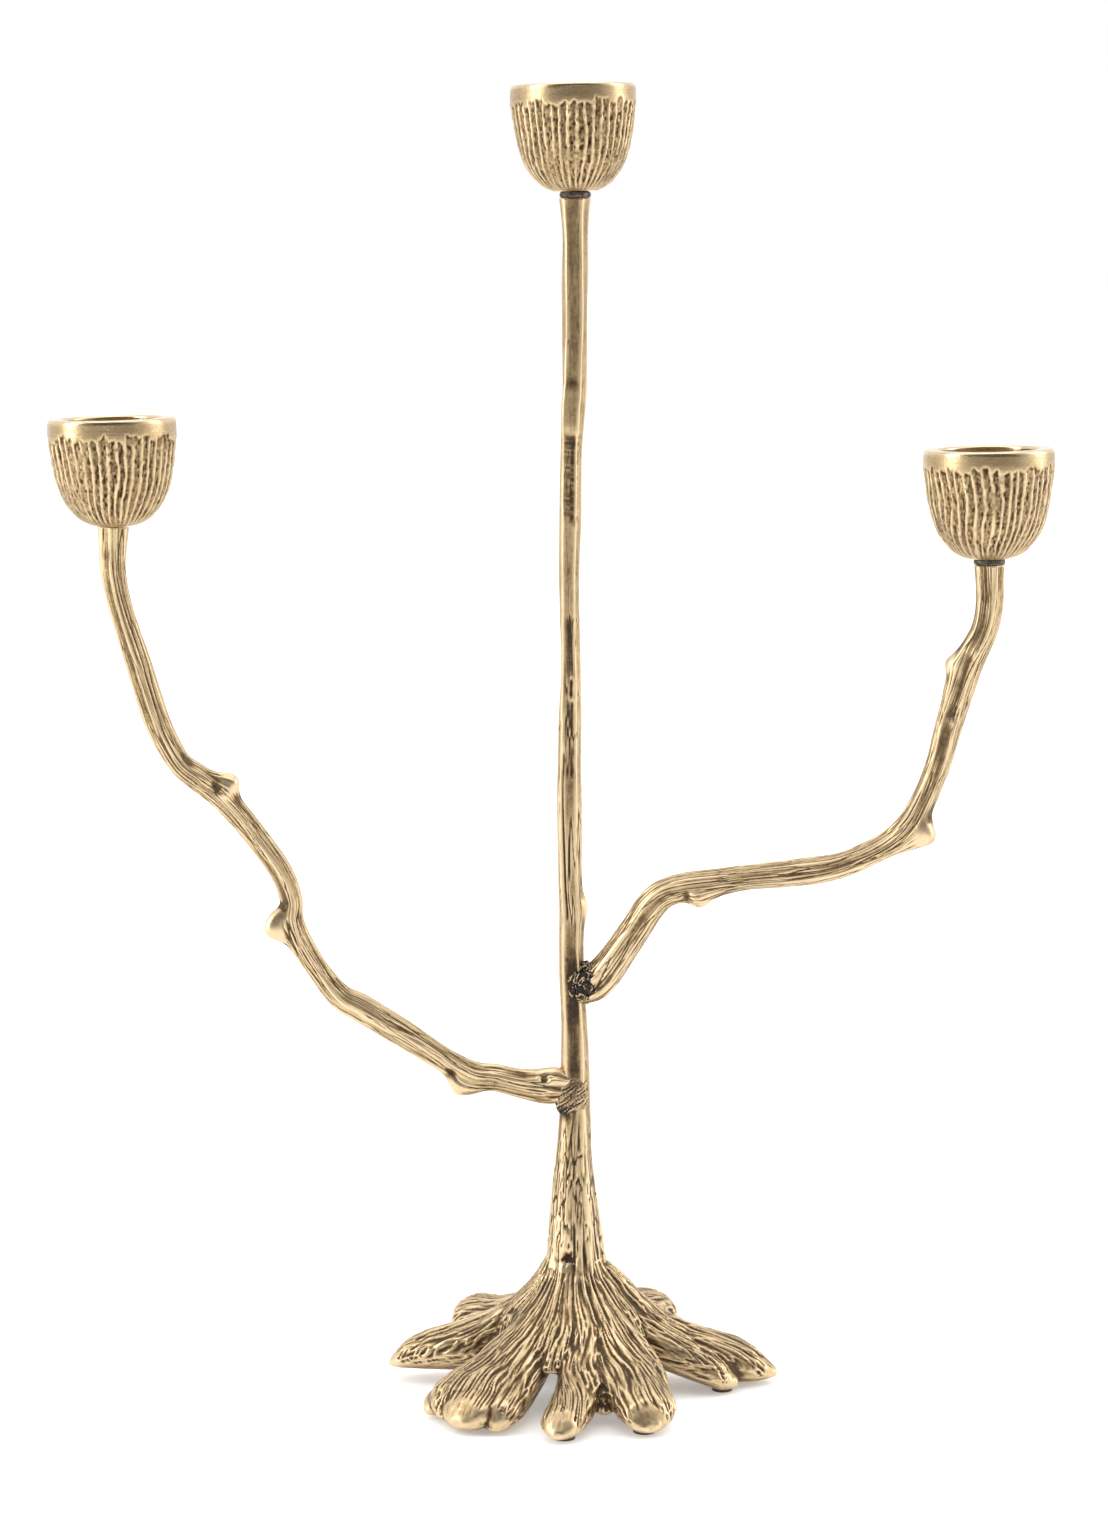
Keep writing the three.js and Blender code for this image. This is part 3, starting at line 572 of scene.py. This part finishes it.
def cup_piece(name, reach, seat, turn, size, seed):
    """A bowl with a brushed rim, meandering ribs outside, and a ledge below its bore.

    Returns the piece, how sunken every vertex is, and 1 where the brass is brushed smooth.
    """
    outside, _ = evenly([(r, z, 0) for r, z in CUP_OUTSIDE], CUP_SPACING)
    inside = straight([(r / size, CUP_HEIGHT - depth / size) for r, depth in CUP_INSIDE], 1.1)
    under = np.column_stack([np.linspace(SCREW_HOLE, SEAT_EDGE, 5), np.zeros(5)])
    profile = np.vstack([under, outside[:, :2], inside])
    r, z = profile.T[:, :, None]
    angle = np.linspace(0, 2 * math.pi, CUP_SIDES, endpoint=False)[None, :]
    x = np.cos(angle)
    y = np.sin(angle)
    ribbed = np.zeros((len(profile), 1))
    ribbed[len(under):len(under) + len(outside)] = 1
    climb = np.concatenate([[0], np.cumsum(np.hypot(*np.diff(profile, axis=0).T))])[:, None]
    stand, sunk, band = rib_relief(x, y, angle, z, climb, seed)
    fall = ribbed * stand
    slope = np.gradient(profile, axis=0)
    slope /= np.maximum(np.linalg.norm(slope, axis=1)[:, None], 1e-9)
    radius = (r + fall * slope[:, 1:]) * size
    height = (z - fall * slope[:, :1]) * size
    local = np.stack(np.broadcast_arrays(radius * x, radius * y, height), -1).reshape(-1, 3)
    foot = np.array([reach * math.cos(turn), -abs(reach) * math.sin(abs(turn)), seat])
    points = local @ leaning(CUP_TILT).T + foot
    piece = mesh_piece(name, points, ring_faces(len(profile), CUP_SIDES, closed=True))
    smooth = np.maximum(ribbed * band, 1 - ribbed * np.ones_like(x))
    return piece, (ribbed * sunk).ravel(), smooth.ravel()


# ---- Foot ----

def root_base():
    """The foot: its CAD solid remeshed finely, softened, and given bark that flows down every root."""
    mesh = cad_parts["root_base"].data.copy()
    piece = bpy.data.objects.new("root_base_cast", mesh)
    bpy.context.scene.collection.objects.link(piece)
    weld = piece.modifiers.new("weld", "WELD")
    weld.merge_threshold = 1e-5
    remesh = piece.modifiers.new("remesh", "REMESH")
    remesh.mode = "VOXEL"
    remesh.voxel_size = FOOT_VOXEL
    ease = piece.modifiers.new("ease", "SMOOTH")
    ease.factor = 0.5
    ease.iterations = 24
    shape_now(piece)
    points = mesh_points(piece.data) / MM
    normals = mesh_points(piece.data, "normal")
    offset = foot_relief(points - np.array(AXIS), normals)
    points = points + normals * offset[:, None]
    piece.data.vertices.foreach_set("co", (points * MM).astype(np.float32).ravel())
    piece.data.update()
    note_hollows(piece, fine=7, broad=70, fine_gain=3.4, broad_gain=0.6, sunk=0.21, deepest=0.88)
    thin = piece.modifiers.new("thin", "DECIMATE")
    thin.ratio = min(1, FOOT_TRIANGLES / (2 * len(piece.data.polygons)))
    shape_now(piece)
    return piece


def shape_now(piece):
    """Applies a piece's modifiers."""
    shaped = bpy.data.meshes.new_from_object(piece.evaluated_get(bpy.context.evaluated_depsgraph_get()))
    piece.modifiers.clear()
    piece.data = shaped
    shaped.name = piece.name
    shaped.shade_smooth()


def hair_ridges(x, y, drop, distance, seed, pitch):
    """Ridges that run outwards from the trunk, splitting in two each time the distance doubles."""
    turn_x = x / np.maximum(distance, 1)
    turn_y = y / np.maximum(distance, 1)
    level = np.log2(np.maximum(distance, 6) / pitch)
    first = np.floor(level)
    share = step(0.3, 0.7, level - first)
    total = 0
    for extra, weight in ((0, 1 - share), (1, share)):
        often = 2 ** (first + extra)
        lines = noise(turn_x * often, turn_y * often, drop / (1.5 * pitch) + distance / (14 * pitch), seed)
        total = total + weight * lines
    return total


def bark_ridges(x, y, z):
    """The fine ridges of the foot and of the trunk's flare."""
    distance = np.hypot(x, y)
    drop = (np.interp(distance, *np.array(FOOT_RIDGE, float).T) - z) * (1 - step(42, 50, z))
    sway = 2.6 * noise(x / 24, y / 24, z / 24, 300) + 0.4 * noise(x / 8, y / 8, z / 8, 301)
    swayed_x = x - sway * y / np.maximum(distance, 8)
    swayed_y = y + sway * x / np.maximum(distance, 8)
    bundles = hair_ridges(swayed_x, swayed_y, drop, distance, 310, 3.2)
    ridges = 1 - 2.4 * np.abs(hair_ridges(swayed_x, swayed_y, drop, distance, 330, 1.4))
    hairs = 1 - 2.4 * np.abs(hair_ridges(swayed_x, swayed_y, drop, distance, 370, 0.95))
    strength = 0.7 + 0.3 * step(-0.4, 0.4, noise(x / 9, y / 9, z / 9, 350))
    return strength * (0.5 * bundles + 0.56 * ridges + 0.26 * hairs - 0.4)


def foot_relief(place, normals):
    """How far every point of the foot stands out or in, in millimetres."""
    x, y, z = place.T
    distance = np.hypot(x, y)
    polished = toe_polish(x, y, z)
    lumps = 0.55 * noise(x / 12, y / 12, z / 12, 510) + 0.2 * noise(x / 5, y / 5, z / 5, 512)
    seen = step(-0.7, -0.1, normals[:, 2]) * step(11, 15, distance)
    inner = (1 - step(24, 34, distance)) * (1 - step(26, 33, z))
    seen = seen * (1 - inner)
    grain = 0.07 * layered(x / 3, y / 3, z / 3, 520)
    high = 1 - step(50, 56, z)
    sunk_rim = 0.9 * step(53, 56.5, z)
    covered = seen * (bark_ridges(x, y, z) * (1 - 0.88 * polished) + lumps * high - sunk_rim)
    return (covered + (1 - seen) * grain) * step(2.0, 4.0, z)


def toe_polish(x, y, z):
    """1 on the rubbed ends of the toes, 0 on the bark."""
    total = np.zeros(len(x))
    for angle, distance, radius in TOE_TIPS:
        turn = math.radians(angle)
        off_x = x - distance * math.cos(turn)
        off_y = y - distance * math.sin(turn)
        tip = np.sqrt(off_x ** 2 + off_y ** 2 + (z - TOE_HEIGHT) ** 2)
        ragged = radius + 1.6 * noise(x / 2.2, y / 2.2, z / 4, 530)
        total = np.maximum(total, 1 - step(ragged - 1.5, ragged + 1.5, tip))
    return total


# ---- Joints ----

BOXINESS = 3.2  # 2 is a ball, and more is squarer


def bead(name, size, centre, lean, ragged, seed):
    """A lump of braze filler with pits and cracks, or ground flat with slanting scratches.

    Returns the piece and how stained every vertex is.
    """
    rows = 150
    sides = 220
    polar = np.linspace(0.02, math.pi - 0.02, rows)[::-1][:, None]
    angle = np.linspace(0, 2 * math.pi, sides, endpoint=False)[None, :]
    x = np.sin(polar) * np.cos(angle)
    y = np.sin(polar) * np.sin(angle)
    z = np.cos(polar) * np.ones_like(angle)
    lumps = (0.012 + 0.15 * ragged) * layered(x * 1.9, y * 1.9, z * 1.9, seed)
    scratches = (1 - ragged) * noise(x * 2.5, y * 2.5, (z - 0.5 * x) * 13, seed + 11)
    boxy = (np.abs(x) ** BOXINESS + np.abs(y) ** BOXINESS + np.abs(z) ** BOXINESS) ** (-1 / BOXINESS)
    corner = (1 - ragged) * np.exp(-((x + 0.55) / 0.26) ** 2 - ((z + 0.6) / 0.26) ** 2)
    holes = step(0.1, 0.5, noise(x * 3.9, y * 3.9, z * 3.9, seed + 3))
    cracks = 1 - step(0, 0.16, np.abs(noise(x * 2.3, y * 2.3, z * 2.3, seed + 5)))
    grit = 0.018 * layered(x * 14, y * 14, z * 14, seed + 8)
    reach = 0.97 * (boxy + ragged * (1 - boxy)) + lumps - ragged * (0.13 * holes + 0.1 * cracks)
    reach = reach + grit + 0.022 * scratches
    ball = np.stack([x * reach * size[0], y * reach * size[1], z * reach * size[2]], -1).reshape(-1, 3)
    points = ball @ leaning(lean).T + np.array(centre)
    piece = mesh_piece(name, points, ring_faces(rows, sides), end_caps(rows, sides))
    return piece, (ragged * (0.3 * holes + 0.35 * cracks) - 0.14 * scratches + 0.6 * corner).ravel()


def solder_ring(name, node, seed):
    """The fillet of grey solder between a neck and its cup; its finish is darkened towards black as painted
    shade of the gap there.
    """
    sides = 160
    rows = 28
    reach = 4.8
    half_width = 1.55
    half_height = 1.5
    low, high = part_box(node)
    centre = (low + high) / 2 / MM - AXIS
    around = np.linspace(0, 2 * math.pi, sides, endpoint=False)[None, :]
    section = np.linspace(0, 2 * math.pi, rows, endpoint=False)[:, None]
    wobble = 0.16 * noise(np.cos(around) * 3, np.sin(around) * 3, 0.3, seed)
    grit = 0.06 * layered(np.cos(around) * 14, np.sin(around) * 14, section, seed + 2)
    radius = reach + (half_width + wobble + grit) * np.cos(section)
    height = half_height * np.sign(np.sin(section)) * np.abs(np.sin(section)) ** 0.7 + grit * 0.3
    ring = np.stack([radius * np.cos(around), radius * np.sin(around), height * np.ones_like(around)], -1)
    points = ring.reshape(-1, 3) + np.array(centre)
    return mesh_piece(name, points, ring_faces(rows, sides, closed=True))


# ---- Materials ----

class Shading:
    """A short way to lay out the nodes of one material."""

    def __init__(self, name):
        self.material = bpy.data.materials.new(name)
        self.material.use_nodes = True
        self.tree = self.material.node_tree
        self.shader = self.tree.nodes["Principled BSDF"]
        self.place = self.add("ShaderNodeTexCoord").outputs["Object"]

    def add(self, kind, **settings):
        node = self.tree.nodes.new(kind)
        for key, value in settings.items():
            setattr(node, key, value)
        return node

    def set(self, socket, value):
        """Links another node's output to a socket, or gives the socket a fixed value."""
        if isinstance(value, bpy.types.NodeSocket):
            self.tree.links.new(value, socket)
        else:
            socket.default_value = value

    def noise(self, scale, detail=3.0, place=None, roughness=0.55):
        node = self.add("ShaderNodeTexNoise")
        self.set(node.inputs["Vector"], place or self.place)
        node.inputs["Scale"].default_value = scale
        node.inputs["Detail"].default_value = detail
        node.inputs["Roughness"].default_value = roughness
        return node.outputs["Fac"]

    def mapped(self, scale):
        """Places stretched by a different amount on each axis."""
        node = self.add("ShaderNodeMapping")
        self.set(node.inputs["Vector"], self.place)
        node.inputs["Scale"].default_value = scale
        return node.outputs["Vector"]

    def maths(self, operation, first, second):
        node = self.add("ShaderNodeMath", operation=operation)
        self.set(node.inputs[0], first)
        self.set(node.inputs[1], second)
        return node.outputs[0]

    def ranged(self, value, low, high, to_low, to_high):
        """The value moved from the range low to high to another range."""
        node = self.add("ShaderNodeMapRange")
        for socket, given in zip(node.inputs, (value, low, high, to_low, to_high)):
            self.set(socket, given)
        return node.outputs[0]

    def ramp(self, value, stops):
        node = self.add("ShaderNodeValToRGB")
        self.set(node.inputs[0], value)
        elements = node.color_ramp.elements
        while len(elements) < len(stops):
            elements.new(0.5)
        for element, (position, colour) in zip(elements, stops):
            element.position = position
            element.color = (*colour, 1)
        return node.outputs[0]

    def attribute(self, name):
        return self.add("ShaderNodeAttribute", attribute_name=name).outputs["Fac"]

    def bump(self, height, distance, strength):
        """Fine roughness on top of the real relief and of any bump before it."""
        node = self.add("ShaderNodeBump")
        self.set(node.inputs["Height"], height)
        node.inputs["Distance"].default_value = distance
        node.inputs["Strength"].default_value = strength
        previous = self.shader.inputs["Normal"].links
        if previous:
            self.set(node.inputs["Normal"], previous[0].from_socket)
        self.set(self.shader.inputs["Normal"], node.outputs[0])

    def finish(self, colour, roughness, metallic):
        """Sets the main inputs and returns the material."""
        self.set(self.shader.inputs["Base Color"], colour)
        self.set(self.shader.inputs["Roughness"], roughness)
        self.set(self.shader.inputs["Metallic"], metallic)
        return self.material


BRASS_STOPS = [  # hollow, colour
    (0.0, (0.7, 0.54, 0.335)),
    (0.34, (0.54, 0.405, 0.235)),
    (0.54, (0.38, 0.275, 0.15)),
    (0.7, (0.22, 0.15, 0.078)),
    (0.86, (0.1, 0.064, 0.034)),
    (1.0, (0.04, 0.025, 0.013)),
]
BRAZE_STOPS = [
    (0.15, (0.55, 0.42, 0.25)),
    (0.42, (0.26, 0.18, 0.1)),
    (0.62, (0.07, 0.05, 0.035)),
    (0.9, (0.012, 0.01, 0.009)),
]
# Solder's dull grey, taken down towards black: partly painted shade of the gap under each cup.
SOLDER_AND_SHADE_STOPS = [
    (0.3, (0.17, 0.15, 0.125)),
    (0.5, (0.08, 0.07, 0.058)),
    (0.7, (0.035, 0.028, 0.022)),
    (0.9, (0.015, 0.012, 0.01)),
]


def antique_brass(name):
    """Rubbed cast brass: bright where it's handled, brown where the patina was left in the hollows."""
    made = Shading(name)
    hollow = made.attribute("hollow")
    cloud = made.noise(95, 4)
    mottle = made.noise(700, 5, roughness=0.65)
    specks = made.noise(2600, 3)
    depth = made.maths("ADD", hollow, made.ranged(cloud, 0.3, 0.7, -0.06, 0.06))
    depth = made.maths("ADD", depth, made.ranged(mottle, 0.3, 0.7, -0.07, 0.08))
    depth = made.maths("ADD", depth, made.ranged(specks, 0.55, 0.75, 0, 0.1))
    colour = made.ramp(depth, BRASS_STOPS)
    rough = made.ranged(depth, 0.15, 0.85, 0.34, 0.6)
    rough = made.maths("ADD", rough, made.ranged(mottle, 0.3, 0.7, -0.05, 0.05))
    made.bump(mottle, 0.00022, 0.35)
    made.bump(specks, 0.00008, 0.5)
    return made.finish(colour, rough, made.ranged(depth, 0.7, 1.0, 1.0, 0.55))


def cup_brass():
    """The cups' brass: ribs like the branches, and a rim band brushed round and round."""
    made = Shading("cup_brass")
    hollow = made.attribute("hollow")
    band = made.attribute("band")
    cloud = made.noise(120, 3)
    mottle = made.noise(900, 5, roughness=0.7)
    brushed = made.noise(1.0, 4, made.mapped((60, 60, 5200)))
    depth = made.maths("ADD", hollow, made.ranged(cloud, 0.3, 0.7, -0.08, 0.08))
    depth = made.maths("ADD", depth, made.ranged(mottle, 0.3, 0.7, -0.09, 0.12))
    streak = made.maths("MULTIPLY", made.ranged(brushed, 0.3, 0.7, -0.09, 0.09), band)
    depth = made.maths("ADD", depth, streak)
    depth = made.maths("SUBTRACT", depth, made.maths("MULTIPLY", band, 0.03))
    colour = made.ramp(depth, BRASS_STOPS)
    rough = made.ranged(depth, 0.2, 0.85, 0.3, 0.6)
    rough = made.maths("SUBTRACT", rough, made.maths("MULTIPLY", band, BAND_POLISH))
    made.bump(mottle, 0.0002, 0.3)
    made.bump(made.maths("MULTIPLY", brushed, band), 0.00006, 0.7)
    return made.finish(colour, rough, 1.0)


def black_braze():
    """Braze filler: black flux scale with brass showing on the proud parts."""
    made = Shading("black_braze")
    hollow = made.attribute("hollow")
    grit = made.noise(1500, 5, roughness=0.7)
    depth = made.maths("ADD", hollow, made.ranged(grit, 0.3, 0.7, -0.16, 0.22))
    colour = made.ramp(depth, BRAZE_STOPS)
    rough = made.ranged(depth, 0.2, 0.8, 0.4, 0.75)
    metallic = made.ranged(depth, 0.4, 0.8, 1.0, 0.35)
    made.bump(grit, 0.0003, 0.5)
    return made.finish(colour, rough, metallic)


def solder_and_painted_shade():
    """Dull solder, its grey darkened towards black as painted shade of the gap between a neck and its cup.
    """
    made = Shading("solder_and_painted_shade")
    cloud = made.noise(600, 4)
    grit = made.noise(2400, 4, roughness=0.7)
    depth = made.maths("ADD", cloud, made.ranged(grit, 0.3, 0.7, -0.2, 0.2))
    colour = made.ramp(depth, SOLDER_AND_SHADE_STOPS)
    made.bump(grit, 0.00016, 0.5)
    return made.finish(colour, made.ranged(depth, 0.3, 0.7, 0.38, 0.6), 0.9)


def turned_metal(name, pale, dull, polish):
    """Turned fasteners: fine rings from the lathe, a little tarnish."""
    made = Shading(name)
    cloud = made.noise(420, 4)
    lathe = made.noise(1.0, 3, made.mapped((900, 900, 5200)))
    depth = made.maths("ADD", made.maths("MULTIPLY", cloud, 0.6), made.maths("MULTIPLY", lathe, 0.4))
    colour = made.ramp(depth, [(0.35, pale), (0.65, dull)])
    made.bump(lathe, 0.00005, 0.4)
    return made.finish(colour, made.ranged(depth, 0.3, 0.7, polish, polish + 0.2), 1.0)


def pressed_felt():
    """Dark brown felt with short fibres."""
    made = Shading("pressed_felt")
    fibre = made.noise(1.0, 6, made.mapped((2600, 1700, 3400)), 0.75)
    tuft = made.noise(520, 3)
    depth = made.maths("ADD", made.maths("MULTIPLY", fibre, 0.7), made.maths("MULTIPLY", tuft, 0.3))
    colour = made.ramp(depth, [(0.3, (0.05, 0.038, 0.03)), (0.7, (0.13, 0.105, 0.085))])
    made.shader.inputs["Sheen Weight"].default_value = 0.4
    made.shader.inputs["Sheen Roughness"].default_value = 0.5
    made.bump(fibre, 0.0003, 0.7)
    return made.finish(colour, 0.95, 0.0)


# ---- Assembly ----

def place(piece, node, slot_name, material):
    """Hands a finished piece over in place of its CAD node."""
    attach(piece, "root")
    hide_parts(node)
    piece.data.materials.clear()
    piece.data.materials.append(material)


def dress(node, material):
    """Gives a CAD node that stays its own finish."""
    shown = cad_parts[node]
    shown.data.materials.clear()
    shown.data.materials.append(material)


bark_brass = antique_brass("cast_brass")
rib_brass = cup_brass()
braze = black_braze()
# The solder finish is partly painted shade: its darkness stands for the shaded gap under the cups.
solder = solder_and_painted_shade()

# The noise of each kind of piece starts from its own seed.
CUP_SEED = 600
BEAD_SEED = 800
RING_SEED = 900

LIMBS = {  # how black the hollows may get, points, turn, side, relief, stain
    "trunk": (1.0, TRUNK, 0, 0, trunk_relief, trunk_stain),
    "left_arm": (0.8, LEFT_BRANCH, LEFT_TURN, -1, left_relief, left_stain),
    "right_arm": (0.8, RIGHT_BRANCH, RIGHT_TURN, 1, right_relief, right_stain),
}
for node, (deepest, *given) in LIMBS.items():
    limb, stained = swept(f"{node}_cast", *given)
    note_hollows(limb, sunk=stained, fine_gain=5.2, deepest=deepest)
    place(limb, node, "cast_brass", bark_brass)

foot = root_base()
place(foot, "root_base", "cast_brass", bark_brass)

for seed, (node, (reach, seat, turn, size)) in enumerate(CUPS.items()):
    cup, sunk, band = cup_piece(f"{node}_cast", reach, seat, turn, size, CUP_SEED + 40 * seed)
    note_hollows(cup, fine=5, broad=14, fine_gain=1.0, broad_gain=0.5, sunk=sunk, deepest=0.92)
    attribute = cup.data.attributes.new("band", "FLOAT", "POINT")
    attribute.data.foreach_set("value", band.astype(np.float32))
    place(cup, node, "cup_brass", rib_brass)

BEADS = {  # half sizes, centre, lean, how ragged, how black
    "left_arm_braze": ((7.3, 6.6, 9.4), (-1.2, -0.7, 127.6), 0.0, 0.03, -0.05),
    "right_arm_braze": ((8, 8.6, 9.6), (4.8, -1.9, 176), math.radians(25), 1.0, 0.36),
}
for seed, (node, (size, centre, lean, ragged, black)) in enumerate(BEADS.items()):
    lump, sunk = bead(f"{node}_bead", size, centre, lean, ragged, BEAD_SEED + 30 * seed)
    note_hollows(lump, fine=4, broad=10, fine_gain=5, sunk=sunk + black)
    place(lump, node, "braze", braze)

for seed, node in enumerate(("centre_solder_ring", "right_solder_ring")):
    ring = solder_ring(f"{node}_fillet", node, RING_SEED + seed)
    place(ring, node, "solder", solder)

screw_brass = turned_metal("screw_brass", (0.85, 0.66, 0.36), (0.5, 0.35, 0.17), 0.22)
zinc_steel = turned_metal("zinc_steel", (0.62, 0.62, 0.6), (0.34, 0.34, 0.33), 0.3)
felt = pressed_felt()
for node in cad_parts:
    if node.endswith(("_cup_screw", "_cup_washer")):
        dress(node, screw_brass)
    elif node in ("base_bolt", "base_washer"):
        dress(node, zinc_steel)
    elif node.endswith("_pad"):
        dress(node, felt)


# ---- Studio ----

ROOM_LIGHT = 1.2
DARK_FRONT = 0.13
FLOOR_GLOW = 0.3
FLOOR_SPAN = 30.0  # metres
FRONT_FADE = (-0.8, -0.2)  # where the room turns from dark to light, -1 for straight in front
LIGHT_TARGET = Vector((0, 0, 0.25))
LAMPS = {  # place and size in metres, and watts
    "left_box": ((-1.9, -0.6, 0.9), (0.7, 1.6), 19),
    "right_box": ((1.9, 0.1, 0.9), (0.7, 1.6), 11),
    "top_box": ((0, 0, 2.4), (2.6, 2.2), 18),
}
LENS = 85
FILM_LENGTH = 36
CAMERA_PLACE = Vector((-8.7, -1500, 489.5))
LOOKS_DOWN = 8.34  # degrees


def studio_floor():
    """A wide pale floor."""
    sides = 64
    angle = np.linspace(0, 2 * math.pi, sides, endpoint=False)
    disc = FLOOR_SPAN * np.column_stack([np.cos(angle), np.sin(angle), np.zeros(sides)])
    floor = mesh_piece("floor", disc / MM - np.array(AXIS), np.empty((0, 4), int), [np.arange(sides)])
    made = Shading("floor_paint")
    made.set(made.shader.inputs["Emission Color"], (1, 1, 1, 1))
    made.set(made.shader.inputs["Emission Strength"], FLOOR_GLOW)
    floor.data.materials.append(made.finish((0.92, 0.92, 0.92, 1), 0.8, 0.0))


def soft_box(name, at, size, power):
    """A lit panel that faces the middle of the candelabra."""
    light = bpy.data.lights.new(name, "AREA")
    light.shape = "RECTANGLE"
    light.size, light.size_y = size
    light.energy = power
    lamp = bpy.data.objects.new(name, light)
    bpy.context.scene.collection.objects.link(lamp)
    lamp.location = at
    lamp.rotation_euler = (LIGHT_TARGET - Vector(at)).to_track_quat("-Z", "Y").to_euler()


def studio_world():
    """A white room that's darker towards the front. The camera sees it plain white."""
    world = bpy.data.worlds.new("studio")
    bpy.context.scene.world = world
    world.use_nodes = True
    tree = world.node_tree
    background = tree.nodes["Background"]
    direction = tree.nodes.new("ShaderNodeTexCoord").outputs["Generated"]
    parts = tree.nodes.new("ShaderNodeSeparateXYZ")
    tree.links.new(direction, parts.inputs[0])
    front = tree.nodes.new("ShaderNodeMapRange")
    front.interpolation_type = "SMOOTHSTEP"
    for socket, value in zip(front.inputs[1:], (*FRONT_FADE, DARK_FRONT, ROOM_LIGHT)):
        socket.default_value = value
    tree.links.new(parts.outputs["Y"], front.inputs[0])
    plain = tree.nodes.new("ShaderNodeMix")
    tree.links.new(tree.nodes.new("ShaderNodeLightPath").outputs["Is Camera Ray"], plain.inputs["Factor"])
    tree.links.new(front.outputs[0], plain.inputs["A"])
    plain.inputs["B"].default_value = 1.0
    tree.links.new(plain.outputs["Result"], background.inputs["Strength"])
    background.inputs["Color"].default_value = (1, 1, 1, 1)


def camera():
    """The photograph's viewing angle: level with the stem, looking a little down."""
    lens = bpy.data.cameras.new("camera")
    lens.lens = LENS
    lens.sensor_width = FILM_LENGTH
    lens.clip_end = 100
    eye = bpy.data.objects.new("camera", lens)
    bpy.context.scene.collection.objects.link(eye)
    eye.location = (CAMERA_PLACE + AXIS) * MM
    eye.rotation_euler = (math.radians(90 - LOOKS_DOWN), 0, 0)
    bpy.context.scene.camera = eye


studio_floor()
studio_world()
for name, given in LAMPS.items():
    soft_box(name, *given)
camera()
bpy.context.scene.view_settings.view_transform = "Standard"
